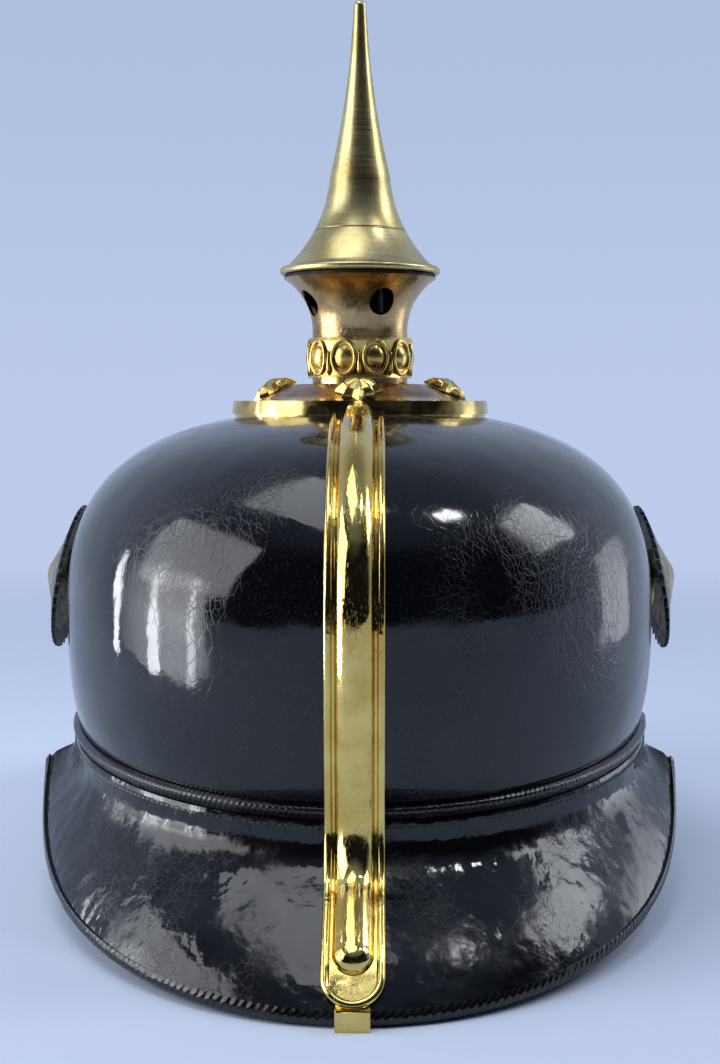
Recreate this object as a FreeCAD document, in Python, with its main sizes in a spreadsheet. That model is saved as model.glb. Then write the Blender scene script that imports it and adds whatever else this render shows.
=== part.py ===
"""Officer's spiked leather parade helmet, as an assembly of separate named pieces.

Frame: +Z up, the wearer looks along -Y, and the floor that the helmet stands on is z = 0.
Every length is in millimetres and every driving size is a cell of the sheet "dims".
"""
import FreeCAD, Part
import Sketcher
import math
import operator
import os
from types import SimpleNamespace
from FreeCAD import Placement, Rotation, Vector

SIZES = (
    # the lacquered leather skull: a dome of ellipses whose side follows a superellipse
    ("skull_half_width", 88.7, "widest half width"),
    ("skull_half_length", 110.0, "half length, front to back"),
    ("skull_top", 137.5, "height of the crown's outer face"),
    ("skull_girth", 76.0, "height at which the skull is widest"),
    ("skull_under", 70.0, "drop below the girth at which the curve would close"),
    ("skull_power", 2.8, "power of the superellipse"),
    ("skull_wall", 2.6, "leather thickness of the skull"),
    ("crown_hole", 12.5, "radius of the air hole under the base plate"),
    # the seam line round the skull, lower at the back
    ("seam_height", 47.0, "height of the seam's top edge at the sides"),
    ("seam_tilt", 3.0, "degrees that the seam falls towards the back"),
    ("seam_band_width", 4.0, "height of the rolled band on the seam"),
    ("seam_band_proud", 2.6, "how far the rolled band stands off the skull"),
    ("seam_gap", 0.2, "gap between the skull and the leather sewn round it"),
    ("skull_overlap", 8.0, "how far the skull runs down behind the visor flange"),
    # visors
    ("visor_leather", 2.4, "leather thickness of both visors"),
    ("flange_drop", 5.0, "height of the visor flange that hugs the skull"),
    ("rear_reach", 138.0, "rear edge of the neck guard, measured from the middle"),
    ("rear_half_width", 94.5, "half width that the neck guard's outline would reach"),
    ("rear_span", 83.0, "half angle that the neck guard covers"),
    ("rear_edge_height", 3.4, "height of the neck guard's edge at the back"),
    ("rear_edge_rise", 15.2, "rise of that edge towards the sides"),
    ("rear_edge_kick", 27.0, "extra rise of that edge near its ends"),
    ("rear_bulge", 3.0, "how far the neck guard's fall bows outwards"),
    ("front_reach", 140.6, "front edge of the peak, measured from the middle"),
    ("front_half_width", 91.0, "half width that the peak's outline would reach"),
    ("front_span", 74.0, "half angle that the peak covers"),
    ("front_edge_height", 3.2, "height of the peak's edge at the front"),
    ("front_edge_rise", 14.0, "rise of that edge towards the sides"),
    ("front_edge_kick", 72.0, "extra rise of that edge near its ends"),
    ("front_bulge", 4.0, "how far the peak's fall bows outwards"),
    ("binding_width", 2.6, "how far the leather binding stands past the edge"),
    ("binding_thick", 3.8, "thickness of the leather binding"),
    ("trim_width", 2.4, "how far the brass trim stands past the peak's edge"),
    ("trim_thick", 3.6, "thickness of the brass trim"),
    # brass spine down the back
    ("spine_half_width", 7.5, "half width of the spine"),
    ("spine_sheet", 0.8, "thickness of the spine's flat"),
    ("spine_bead_width", 2.1, "width of the half round bead at each side"),
    ("spine_bead_height", 1.7, "height of that bead"),
    ("spine_ridge_half", 4.9, "half width of the middle ridge"),
    ("spine_ridge_height", 4.2, "height of the middle ridge"),
    ("spine_panel", 2.6, "flat between the ridge's end and the end bead"),
    ("hook_half_width", 4.0, "half width of the hook under the neck guard"),
    ("hook_sheet", 1.0, "thickness of the hook"),
    # base plate, studs, pearl ring and neck
    ("plate_rise", 3.0, "height of the plate's rim above the crown"),
    ("plate_radius", 38.9, "radius of the base plate"),
    ("plate_flare", 0.5, "how much wider the rim band is at its foot"),
    ("plate_band", 4.0, "height of the rim band"),
    ("plate_sheet", 0.9, "sheet thickness of the plate"),
    ("plate_flat", 31.8, "radius at which the plate's dome starts"),
    ("plate_dome_radius", 20.7, "radius at which the dome is level again"),
    ("plate_dome", 5.0, "height of the dome above the rim"),
    ("plate_bore", 11.5, "radius of the opening in the plate's middle"),
    ("star_circle", 26.0, "radius of the circle that the studs stand on"),
    ("star_radius", 7.0, "radius of the star to its points"),
    ("star_valley", 4.9, "radius of the star between its points"),
    ("star_height", 4.2, "height of the star"),
    ("star_points", 8, "points on one star"),
    ("stud_radius", 1.6, "radius of a stud's shank"),
    ("stud_nut_radius", 4.2, "radius of a stud's nut"),
    ("stud_nut_height", 2.2, "height of a stud's nut"),
    ("neck_foot", 2.0, "height of the neck's foot below the pearl ring"),
    ("neck_radius", 14.6, "outer radius of the neck at the pearl ring"),
    ("neck_sheet", 1.0, "sheet thickness of the neck"),
    ("neck_rise", 15.0, "height at which the neck starts to flare"),
    ("neck_height", 32.2, "height of the neck above the plate's dome"),
    ("neck_mouth", 23.4, "outer radius of the neck's mouth"),
    ("neck_flare", 19.0, "radius of the neck's flare"),
    ("ring_height", 12.0, "height of the pearl ring"),
    ("ring_radius", 15.4, "outer radius of the pearl ring's band"),
    ("pearl_half_width", 4.2, "half width of one pearl"),
    ("pearl_proud", 1.3, "how far a pearl stands off the ring"),
    ("pearls", 10, "pearls round the ring"),
    ("vent_radius", 3.9, "radius of an air hole in the neck"),
    ("vent_height", 24.4, "height of the air holes above the plate's dome"),
    ("vent_turn", 24.4, "degrees that the air holes are turned from the middle"),
    ("bush_sheet", 0.9, "thickness of the bush's disc"),
    ("bush_radius", 7.0, "outer radius of the threaded bush"),
    ("bush_depth", 11.0, "depth of the threaded bush"),
    ("screw_radius", 4.0, "radius of the spike's screw"),
    ("screw_play", 0.06, "radial play of the screw in its bush"),
    # spike
    ("spike_gap", 0.3, "gap between the spike and the neck's disc"),
    ("spike_height", 82.0, "height of the spike"),
    ("spike_brim", 24.5, "radius of the spike's brim"),
    ("spike_brim_roll", 2.2, "height of the rolled brim"),
    ("spike_hip_radius", 9.2, "radius at which the foot turns into the shaft"),
    ("spike_hip", 29.5, "height at which the foot turns into the shaft"),
    ("spike_foot_curve", 42.0, "radius of the foot's hollow curve"),
    ("spike_shaft_curve", 260.0, "radius of the shaft's hollow curve"),
    ("spike_tip", 1.9, "radius of the rounded tip"),
    ("spike_sheet", 1.2, "sheet thickness of the spike"),
    ("plug_height", 1.5, "thickness of the plug that carries the screw"),
    # side posts and cockades
    ("post_forward", 8.0, "how far the side posts stand in front of the middle"),
    ("post_height", 85.0, "height of the side posts"),
    ("post_radius", 2.5, "radius of a side post"),
    ("post_nut_radius", 7.0, "radius of the nut inside the skull"),
    ("post_nut_height", 2.4, "height of that nut"),
    ("cockade_radius", 22.8, "radius of a cockade to its teeth"),
    ("cockade_root", 21.4, "radius of a cockade between its teeth"),
    ("cockade_teeth", 40, "teeth round a cockade"),
    ("cockade_sheet", 1.2, "sheet thickness of a cockade"),
    ("cockade_dish", 5.0, "how far a cockade's middle stands out from its rim"),
    ("cockade_lean", 10.8, "degrees that a cockade leans in at its top"),
    ("cockade_centre_radius", 11.0, "radius of the raised centre"),
    ("cockade_centre_height", 1.8, "height of the raised centre"),
    # chin strap with scales
    ("strap_leather", 1.4, "thickness of the strap's leather"),
    ("strap_post_half", 9.5, "half width of the strap at the post"),
    ("strap_front_half", 6.0, "half width of the strap at the buckle"),
    ("strap_clear", 0.7, "gap between the strap and the skull"),
    ("strap_low", 59.0, "height of the strap's middle beside the peak"),
    ("strap_front", 63.0, "height of the strap's middle at the buckle"),
    ("cockade_stand", 2.2, "how far a cockade's rim stands off the skull at its middle"),
    ("ring_end_radius", 10.0, "radius of the strap's end round the post"),
    ("scale_start", 30.0, "distance from the post to the first scale"),
    ("rosette_radius", 9.0, "radius of the brass end plate on the strap"),
    ("rosette_sheet", 0.8, "thickness of that end plate"),
    ("post_play", 0.3, "radial play of the strap's ends on the posts"),
    ("scale_count", 13, "scales on one side"),
    ("scale_sheet", 0.7, "thickness of a scale"),
    ("scale_overlap", 3.2, "how far a scale lies over the next one"),
    ("buckle_half_height", 8.0, "half height of the front buckle"),
    ("buckle_half_width", 10.0, "half width of the front buckle"),
    # lining
    ("sweatband_leather", 1.6, "thickness of the sweatband"),
    ("sweatband_height", 34.0, "height of the sweatband"),
    ("sweatband_gap", 0.3, "gap between the sweatband and the skull"),
    ("tongues", 10, "leather tongues of the lining"),
    ("tongue_leather", 1.2, "thickness of a tongue"),
    ("tongue_top", 118.0, "height of the tongues' tips"),
    ("tongue_tip_half", 5.0, "half width of a tongue's tip"),
)


class Size(float):
    """A number that remembers the sheet formula it was worked out from."""

    def __new__(cls, value, text):
        size = super().__new__(cls, value)
        size.text = text
        return size

    def __neg__(self):
        return self * -1.0


def text_of(value):
    return value.text if isinstance(value, Size) else repr(float(value))


def add_operator(name, symbol, work):
    def forward(self, other):
        text = f"({text_of(self)} {symbol} {text_of(other)})"
        return Size(work(float(self), float(other)), text)

    def backward(self, other):
        text = f"({text_of(other)} {symbol} {text_of(self)})"
        return Size(work(float(other), float(self)), text)

    setattr(Size, f"__{name}__", forward)
    setattr(Size, f"__r{name}__", backward)


for operator_name, operator_symbol, operator_work in (
        ("add", "+", operator.add), ("sub", "-", operator.sub), ("mul", "*", operator.mul),
        ("truediv", "/", operator.truediv), ("pow", "^", operator.pow)):
    add_operator(operator_name, operator_symbol, operator_work)

doc = FreeCAD.newDocument("ParadeHelmet")
sheet = doc.addObject("Spreadsheet::Sheet", "dims")
for row, (alias, value, note) in enumerate(SIZES, start=1):
    sheet.set(f"A{row}", alias)
    sheet.set(f"B{row}", str(value))
    sheet.setAlias(f"B{row}", alias)
    sheet.set(f"C{row}", note)
doc.recompute()
d = SimpleNamespace(**{alias: Size(float(value), f"dims.{alias}") for alias, value, note in SIZES})
parts = []

UP = Vector(0, 0, 1)
REAR = 1
FRONT = -1


# ---------------------------------------------------------------- document helpers

def bind(target, path, value):
    """Give a property its value, and the sheet formula behind it where there is one."""
    if isinstance(value, Size):
        target.setExpression(path, value.text)


def keep(feature, label):
    """Name a sub-part; its label is its file's name."""
    feature.Label = label
    parts.append(feature)
    return feature


def own_shape(label, shape, place=None):
    """A sub-part whose free-form shape is made with Part's own functions."""
    feature = doc.addObject("Part::Feature", label)
    feature.Shape = shape
    if place is not None:
        feature.Placement = place
    return keep(feature, label)


def helper(kind, name):
    """An object of the document that a sub-part is built from."""
    return doc.addObject(kind, name)


def boolean(kind, name, base, tool):
    feature = helper(f"Part::{kind}", name)
    feature.Base = base
    feature.Tool = tool
    return feature


def new_body(name):
    return doc.addObject("PartDesign::Body", name)


def origin_feature(body, role):
    return next(item for item in body.Origin.OriginFeatures if item.Role == role)


def new_sketch(body, plane, name):
    sketch = body.newObject("Sketcher::SketchObject", name)
    sketch.AttachmentSupport = [(origin_feature(body, plane), "")]
    sketch.MapMode = "FlatFace"
    return sketch


def arc_between(start, end, radius):
    """The minor arc between two points; a positive radius bows to the right of the way."""
    chord = end - start
    across = Vector(chord.y, -chord.x, 0).normalize()
    half = chord.Length / 2
    sagitta = abs(radius) - math.sqrt(radius * radius - half * half)
    middle = (start + end) / 2 + across * math.copysign(sagitta, radius)
    if radius > 0:
        return Part.Arc(start, middle, end)
    return Part.Arc(end, middle, start)


def outline(sketch, corners):
    """Close a profile through the corners; a third entry is the radius of an arc to the next."""
    places = [Vector(float(corner[0]), float(corner[1]), 0) for corner in corners]
    starts = []
    for index, corner in enumerate(corners):
        start = places[index]
        end = places[(index + 1) % len(corners)]
        if len(corner) == 3:
            edge = sketch.addGeometry(arc_between(start, end, float(corner[2])))
            forward = corner[2] > 0
        else:
            edge = sketch.addGeometry(Part.LineSegment(start, end))
            forward = True
        starts.append((edge, 1 if forward else 2, 2 if forward else 1))
    for index, (edge, first, last) in enumerate(starts):
        follower = starts[(index + 1) % len(starts)]
        sketch.addConstraint(Sketcher.Constraint("Coincident", edge, last, follower[0], follower[1]))
        for kind, value in zip(("DistanceX", "DistanceY"), corners[index]):
            name = f"{kind}{index}"
            number = sketch.addConstraint(
                Sketcher.Constraint(kind, -1, 1, edge, first, float(value)))
            sketch.renameConstraint(number, name)
            bind(sketch, f"Constraints.{name}", value)
        if len(corners[index]) == 3:
            radius = corners[index][2]
            number = sketch.addConstraint(
                Sketcher.Constraint("Radius", edge, abs(float(radius))))
            sketch.renameConstraint(number, f"Radius{index}")
            if radius < 0:
                radius = -radius
            bind(sketch, f"Constraints.Radius{index}", radius)
    return sketch


def turned(name, corners):
    """A body turned about its own Z axis; corners are (radius, height)."""
    body = new_body(name)
    sketch = outline(new_sketch(body, "XZ_Plane", f"{name}_profile"), corners)
    turn = body.newObject("PartDesign::Revolution", f"{name}_turn")
    turn.Profile = sketch
    turn.ReferenceAxis = (sketch, ["V_Axis"])
    turn.Angle = 360
    sketch.Visibility = False
    return body


def lift(body, height):
    """Raise a body that is turned about the helmet's own axis."""
    body.Placement = Placement(Vector(0, 0, float(height)), Rotation())
    bind(body, "Placement.Base.z", height)


# ---------------------------------------------------------------- geometry of the skull

def skull_share(height, shrink=0.0):
    """Share of the full half width that the skull has at a height."""
    if height > d.skull_girth:
        part = (height - d.skull_girth) / (d.skull_top - shrink - d.skull_girth)
    else:
        part = (d.skull_girth - height) / d.skull_under
    part = min(max(float(part), 0.0), 1.0)
    return (1 - part ** float(d.skull_power)) ** (1 / float(d.skull_power))


def skull_height(radius, half, shrink=0.0):
    """Height of the crown's face at a distance from the axis, along one half axis."""
    share = (1 - (radius / half) ** float(d.skull_power)) ** (1 / float(d.skull_power))
    return float(d.skull_girth) + float(d.skull_top - shrink - d.skull_girth) * share


def beside_skull(angle, height, off):
    """A point at a height, off the skull's outer face; angle 0 is the back, 90 the -X side."""
    share = skull_share(height)
    turn = math.radians(angle)
    return Vector(-(d.skull_half_width * share + off) * math.sin(turn),
                  (d.skull_half_length * share + off) * math.cos(turn), height)


def on_seam(angle, down, off):
    """A point on the tilted seam line or below it, off the skull's outer face."""
    height = float(d.seam_height)
    fall = math.tan(math.radians(d.seam_tilt))
    for step in range(8):
        point = beside_skull(angle, height, off)
        height = d.seam_height - down - fall * point.y
    return beside_skull(angle, float(height), off)


def spread(first, last, count):
    return [first + (last - first) * step / (count - 1) for step in range(count)]


def slab(outer, inner):
    """A closed solid between two grids of points that have the same rows and columns."""
    faces = []
    rims = []
    for grid in (outer, inner):
        surface = Part.BSplineSurface()
        surface.interpolate(grid)
        first_u, last_u, first_v, last_v = surface.bounds()
        faces.append(surface.toShape())
        rims.append((surface.uIso(first_u), surface.uIso(last_u),
                     surface.vIso(first_v), surface.vIso(last_v)))
    for outer_rim, inner_rim in zip(*rims):
        faces.append(Part.makeRuledSurface(outer_rim.toShape(), inner_rim.toShape()))
    shell = Part.makeShell(faces)
    shell.sewShape()
    solid = Part.makeSolid(shell)
    if solid.Volume < 0:
        solid.reverse()
    return solid


def elliptic_dome(name, sections):
    """A loft through level ellipses, given as (height, half width, half length)."""
    rings = []
    for number, (height, half_width, half_length) in enumerate(sections):
        ring = helper("Part::Ellipse", f"{name}_ring{number}")
        ring.MajorRadius = float(half_length)
        ring.MinorRadius = float(half_width)
        ring.Placement = Placement(Vector(0, 0, float(height)), Rotation(UP, 90))
        bind(ring, "MajorRadius", half_length)
        bind(ring, "MinorRadius", half_width)
        bind(ring, "Placement.Base.z", height)
        rings.append(ring)
    loft = helper("Part::Loft", name)
    loft.Sections = rings
    loft.Solid = True
    return loft


def skull_sections(off):
    """Sections of the skull, pulled in by a wall; even steps round the superellipse's corner."""
    top = d.skull_top - off
    rows = []
    turns = (-48, -41, -34, -27, -20, -13, -6, 0, 6, 13, 21, 29, 37, 45, 53, 61, 69, 77, 84, 88)
    for turn in turns:
        part = math.sin(math.radians(abs(turn))) ** (2 / float(d.skull_power))
        if turn < 0:
            height = d.skull_girth - d.skull_under * part
        else:
            height = d.skull_girth + (top - d.skull_girth) * part
        share = (1 - part ** d.skull_power) ** (1 / d.skull_power)
        rows.append((height, (d.skull_half_width - off) * share,
                     (d.skull_half_length - off) * share))
    return rows


def below_seam(name, down):
    """A block that removes everything under the tilted seam plane, a step below it."""
    wide = 2 * (d.skull_half_length + d.rear_reach)
    block = helper("Part::Box", name)
    for side in ("Length", "Width", "Height"):
        setattr(block, side, float(wide))
        bind(block, side, wide)
    tilt = Rotation(Vector(1, 0, 0), -float(d.seam_tilt))
    corner = Vector(-float(wide) / 2, -float(wide) / 2, -float(wide))
    base = tilt.multVec(corner) + Vector(0, 0, float(d.seam_height - down))
    block.Placement = Placement(base, tilt)
    return block


def make_skull():
    outside = elliptic_dome("skull_outside", skull_sections(0.0))
    inside = elliptic_dome("skull_inside", skull_sections(d.skull_wall))
    hollow = boolean("Cut", "skull_hollow", outside, inside)
    trimmed = boolean("Cut", "skull_trimmed", hollow, below_seam("skull_rim", d.skull_overlap))
    drills = [crown_drill(0, 0, d.crown_hole)]
    for turn in range(4):
        angle = math.radians(90 * turn)
        drills.append(crown_drill(math.cos(angle), math.sin(angle), d.stud_radius + d.screw_play))
    for side in (-1, 1):
        drills.append(post_drill(side))
    gang = helper("Part::MultiFuse", "skull_drills")
    gang.Shapes = drills
    return keep(boolean("Cut", "skull", trimmed, gang), "skull"), outside


def crown_drill(across, along, radius):
    """A drill down through the crown, on the axis or on the circle of studs."""
    drill = helper("Part::Cylinder", "crown_drill")
    drill.Radius = float(radius)
    drill.Height = float(d.skull_top)
    bind(drill, "Radius", radius)
    bind(drill, "Height", d.skull_top)
    place = Vector(across * d.star_circle, along * d.star_circle, float(d.skull_girth))
    drill.Placement = Placement(place, Rotation())
    bind(drill, "Placement.Base.x", d.star_circle * across)
    bind(drill, "Placement.Base.y", d.star_circle * along)
    bind(drill, "Placement.Base.z", d.skull_girth)
    return drill


def post_drill(side):
    """A drill through the skull's side for a post."""
    drill = helper("Part::Cylinder", "post_drill")
    drill.Radius = float(d.post_radius + d.screw_play)
    drill.Height = float(d.skull_half_width)
    bind(drill, "Radius", d.post_radius + d.screw_play)
    bind(drill, "Height", d.skull_half_width)
    start = d.skull_half_width * 0.5 * side
    place = Vector(float(start), -float(d.post_forward), float(d.post_height))
    drill.Placement = Placement(place, Rotation(UP, Vector(side, 0, 0)))
    bind(drill, "Placement.Base.x", start)
    bind(drill, "Placement.Base.y", -d.post_forward)
    bind(drill, "Placement.Base.z", d.post_height)
    return drill


# ---------------------------------------------------------------- visors and their edges

def visor_plan(end):
    """The sizes of one visor: its facing, outline, edge heights, bow and angle covered."""
    if end == REAR:
        return SimpleNamespace(
            face=0.0, reach=d.rear_reach, half=d.rear_half_width, span=float(d.rear_span),
            low=d.rear_edge_height, rise=d.rear_edge_rise, kick=d.rear_edge_kick,
            bulge=float(d.rear_bulge), sign=1.0)
    return SimpleNamespace(
        face=180.0, reach=d.front_reach, half=d.front_half_width, span=float(d.front_span),
        low=d.front_edge_height, rise=d.front_edge_rise, kick=d.front_edge_kick,
        bulge=float(d.front_bulge), sign=-1.0)


def visor_edge(plan, share):
    """The outer corner of a visor's edge; share runs from -1 to 1 across the visor."""
    turn = math.radians(share * plan.span)
    part = abs(share * plan.span / 90)
    return Vector(-plan.half * math.sin(turn) * plan.sign,
                  plan.reach * math.cos(turn) * plan.sign,
                  plan.low + plan.rise * part ** 2 + plan.kick * part ** 6)


def visor_section(plan, share):
    """Outer points of one section with the way down at each: flange, then a soft flare."""
    angle = plan.face + share * plan.span
    top = on_seam(angle, float(d.seam_band_width), float(d.seam_gap + d.visor_leather))
    root = top + Vector(top.x, top.y, 0).normalize() * 0.4 - UP * float(d.flange_drop)
    edge = visor_edge(plan, share)
    fall = edge - root
    flange_way = (root - top).normalize()
    edge_way = (Vector(fall).normalize() - UP * plan.bulge / 12).normalize()
    length = (edge - root).Length
    ends = (root, root + flange_way * (0.22 * length), edge - edge_way * (0.5 * length), edge)
    dense = [(top, flange_way)]
    for step in spread(0.0, 1.0, 61):
        rest = 1 - step
        place = (ends[0] * rest ** 3 + ends[1] * (3 * rest ** 2 * step)
                 + ends[2] * (3 * rest * step ** 2) + ends[3] * step ** 3)
        way = ((ends[1] - ends[0]) * rest ** 2 + (ends[2] - ends[1]) * (2 * rest * step)
               + (ends[3] - ends[2]) * step ** 2)
        dense.append((place, way.normalize()))
    return evenly(dense, VISOR_ACROSS)


def evenly(dense, count):
    """Entries of a dense row whose places are equal steps apart along it."""
    run = [0.0]
    for before, after in zip(dense, dense[1:]):
        run.append(run[-1] + (after[0] - before[0]).Length)
    picked = []
    for goal in spread(0.0, run[-1], count):
        index = max(i for i, length in enumerate(run) if length <= goal + 1e-9)
        index = min(index, len(dense) - 2)
        share = (goal - run[index]) / (run[index + 1] - run[index])
        (place, way), (next_place, next_way) = dense[index], dense[index + 1]
        picked.append((place + (next_place - place) * share,
                       (way + (next_way - way) * share).normalize()))
    return picked


def visor_rows(plan, stations):
    """Rows of (point, way down, normal) over a whole visor."""
    rows = []
    for share in spread(-1.0, 1.0, stations):
        angle = math.radians(plan.face + share * plan.span)
        along = Vector(-float(d.skull_half_width) * math.cos(angle),
                       -float(d.skull_half_length) * math.sin(angle), 0)
        row = []
        for point, way in visor_section(plan, share):
            row.append((point, way, way.cross(along).normalize()))
        rows.append(row)
    return rows


VISOR_STATIONS = 15
VISOR_ACROSS = 10


def make_visor(label, end):
    rows = visor_rows(visor_plan(end), VISOR_STATIONS)
    thick = float(d.visor_leather)
    outer = [[point for point, way, normal in row] for row in rows]
    inner = [[point - normal * thick for point, way, normal in row] for row in rows]
    return own_shape(label, slab(outer, inner))


def make_edging(label, end, width, thick):
    """A rounded strip along a visor's edge, seated on the visor's cut edge."""
    rows = visor_rows(visor_plan(end), VISOR_STATIONS)
    leather = float(d.visor_leather)
    outer, inner = [], []
    for row in rows:
        point, way, normal = row[-1]
        middle = point - normal * (leather / 2)
        bow = []
        for turn in (90, 60, 30, 0, -30, -60, -90):
            angle = math.radians(turn)
            bow.append(middle + way * (float(width) * math.cos(angle))
                       + normal * (float(thick) / 2 * math.sin(angle)))
        outer.append([place + way * 0.35 for place in bow])
        inner.append([middle + way * 0.02 + normal * (float(thick) / 2 * step)
                      for step in spread(1.0, -1.0, len(bow))])
    return own_shape(label, slab(outer, inner))


def make_seam_band(label, end):
    """The rolled leather band that covers the visor's flange at the seam."""
    plan = visor_plan(end)
    width = float(d.seam_band_width)
    proud = float(d.seam_band_proud)
    outer, inner = [], []
    for share in spread(-1.0, 1.0, VISOR_STATIONS):
        angle = plan.face + share * plan.span
        top = []
        for down, off in ((0.0, 0.5), (0.5, 1.6), (1.3, proud - 0.2), (2.2, proud),
                          (3.1, proud - 0.1), (width - 0.05, proud - 0.5)):
            top.append(on_seam(angle, down, off))
        outer.append(top)
        inner.append([on_seam(angle, down, float(d.seam_gap))
                      for down in spread(0.0, width - 0.05, len(top))])
    return own_shape(label, slab(outer, inner))


# ---------------------------------------------------------------- brass spine

def spine_points():
    """Underside of the spine in the middle plane, from the base plate down to the edge."""
    power = 2 / float(d.skull_power)
    length = float(d.skull_half_length)
    start = float(d.plate_radius + d.plate_flare) + 0.1
    first = math.degrees(math.acos((start / length) ** (1 / power)))
    clear = 0.12
    points = []
    for turn in spread(first, 0.0, 8):
        part = math.sin(math.radians(turn)) ** power
        height = d.skull_girth + (d.skull_top - d.skull_girth) * part
        y = length * math.cos(math.radians(turn)) ** power
        points.append(Vector(0, y + clear * math.cos(math.radians(turn)),
                             float(height) + clear * math.sin(math.radians(turn))))
    points.append(on_seam(0, -16.0, clear))
    points.append(on_seam(0, -5.0, 0.7))
    points.append(on_seam(0, float(d.seam_band_width) * 0.55, float(d.seam_band_proud) + clear))
    for place, way in visor_section(visor_plan(REAR), 0.0)[3:]:
        points.append(place + Vector(0, -way.z, way.y) * 0.2)
    return points


def spine_profile(place, way, with_ridge):
    """The strip's cross-section: a flat, a bead at each side and the ridge in the middle."""
    half = float(d.spine_half_width)
    flat = float(d.spine_sheet)
    bead = float(d.spine_bead_width)
    ridge = float(d.spine_ridge_half)
    up = Vector(1, 0, 0).cross(way).normalize()

    def at(across, height):
        return place + Vector(across, 0, 0) + up * height

    edges = [Part.makeLine(at(-half, 0), at(half, 0)), Part.makeLine(at(half, 0), at(half, flat))]
    edges.append(Part.Arc(at(half, flat), at(half - bead / 2, float(d.spine_bead_height)),
                          at(half - bead, flat)).toShape())
    if with_ridge:
        edges.append(Part.makeLine(at(half - bead, flat), at(ridge, flat)))
        edges.append(Part.Arc(at(ridge, flat), at(0, float(d.spine_ridge_height)),
                              at(-ridge, flat)).toShape())
        edges.append(Part.makeLine(at(-ridge, flat), at(bead - half, flat)))
    else:
        edges.append(Part.makeLine(at(half - bead, flat), at(bead - half, flat)))
    edges.append(Part.Arc(at(bead - half, flat), at(bead / 2 - half, float(d.spine_bead_height)),
                          at(-half, flat)).toShape())
    edges.append(Part.makeLine(at(-half, flat), at(-half, 0)))
    return Part.Wire(edges)


def swept(profile, path):
    pipe = Part.BRepOffsetAPI.MakePipeShell(Part.Wire([path]))
    pipe.setBiNormalMode(Vector(1, 0, 0))
    pipe.add(profile)
    pipe.build()
    pipe.makeSolid()
    return pipe.shape()


def round_end(place, way, radius, height, base):
    """A half disc with a beaded rim, or a domed ridge end, turned about the strip's normal."""
    up = Vector(1, 0, 0).cross(way).normalize()

    def at(across, rise):
        return place + Vector(across, 0, 0) + up * rise

    if base:
        bead = float(d.spine_bead_width)
        flat = float(d.spine_sheet)
        edges = [Part.makeLine(at(0, 0), at(radius, 0)),
                 Part.makeLine(at(radius, 0), at(radius, flat)),
                 Part.Arc(at(radius, flat), at(radius - bead / 2, height),
                          at(radius - bead, flat)).toShape(),
                 Part.makeLine(at(radius - bead, flat), at(0, flat)),
                 Part.makeLine(at(0, flat), at(0, 0))]
    else:
        slope = math.sqrt(0.5)
        sunk = 0.5 * float(d.spine_sheet)
        edges = [Part.makeLine(at(0, sunk), at(radius, sunk)),
                 Part.makeLine(at(radius, sunk), at(radius, float(d.spine_sheet))),
                 Part.Arc(at(radius, float(d.spine_sheet)),
                          at(radius * slope, float(d.spine_sheet)
                             + (height - float(d.spine_sheet)) * slope),
                          at(0, height)).toShape(),
                 Part.makeLine(at(0, height), at(0, sunk))]
    return Part.Face(Part.Wire(edges)).revolve(place, up, 180 if base else 360)


def make_spine(neighbours):
    """The spine follows the skull, steps over the seam and ends in a round beaded tip."""
    points = spine_points()
    curve = Part.BSplineCurve()
    curve.interpolate(points)
    total = curve.length()
    half = float(d.spine_half_width)
    ridge = float(d.spine_ridge_half)
    ridge_stop = total - half - float(d.spine_panel) - ridge + half - half * 0.65
    split = curve.parameterAtDistance(ridge_stop, curve.FirstParameter)
    end = curve.parameterAtDistance(total - half, curve.FirstParameter)
    upper = curve.copy()
    upper.segment(curve.FirstParameter, split)
    lower = curve.copy()
    lower.segment(split, end)
    top_place, top_way = upper.value(upper.FirstParameter), upper.tangent(upper.FirstParameter)[0]
    mid_place, mid_way = curve.value(split), curve.tangent(split)[0]
    end_place, end_way = curve.value(end), curve.tangent(end)[0]
    solids = [swept(spine_profile(top_place, top_way, True), upper.toShape()),
              swept(spine_profile(mid_place, mid_way, False), lower.toShape()),
              round_end(mid_place - mid_way * 0.4, mid_way, ridge - 0.15,
                        float(d.spine_ridge_height) - 0.06, False),
              round_end(end_place, end_way, half, float(d.spine_bead_height), True)]
    spine = solids[0].fuse(solids[1:])
    for neighbour in neighbours:
        spine = spine.cut(neighbour)
    return own_shape("rear_spine", max(spine.Solids, key=lambda solid: solid.Volume))


def make_hook(neighbours):
    """A tab that grips the binding's underside below the spine's tip."""
    edge = visor_edge(visor_plan(REAR), 0.0)
    inside = 5.6
    past = float(d.binding_width + d.hook_sheet) - 0.2
    tab = Part.makeBox(2 * float(d.hook_half_width), inside + past, float(edge.z) + 1.2,
                       Vector(-float(d.hook_half_width), edge.y - inside, 0))
    for neighbour in neighbours:
        tab = tab.cut(neighbour)
    return own_shape("spine_hook", max(tab.Solids, key=lambda solid: solid.BoundBox.YLength))


# ---------------------------------------------------------------- crown fittings

def plate_top():
    return d.skull_top + d.plate_rise


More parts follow.
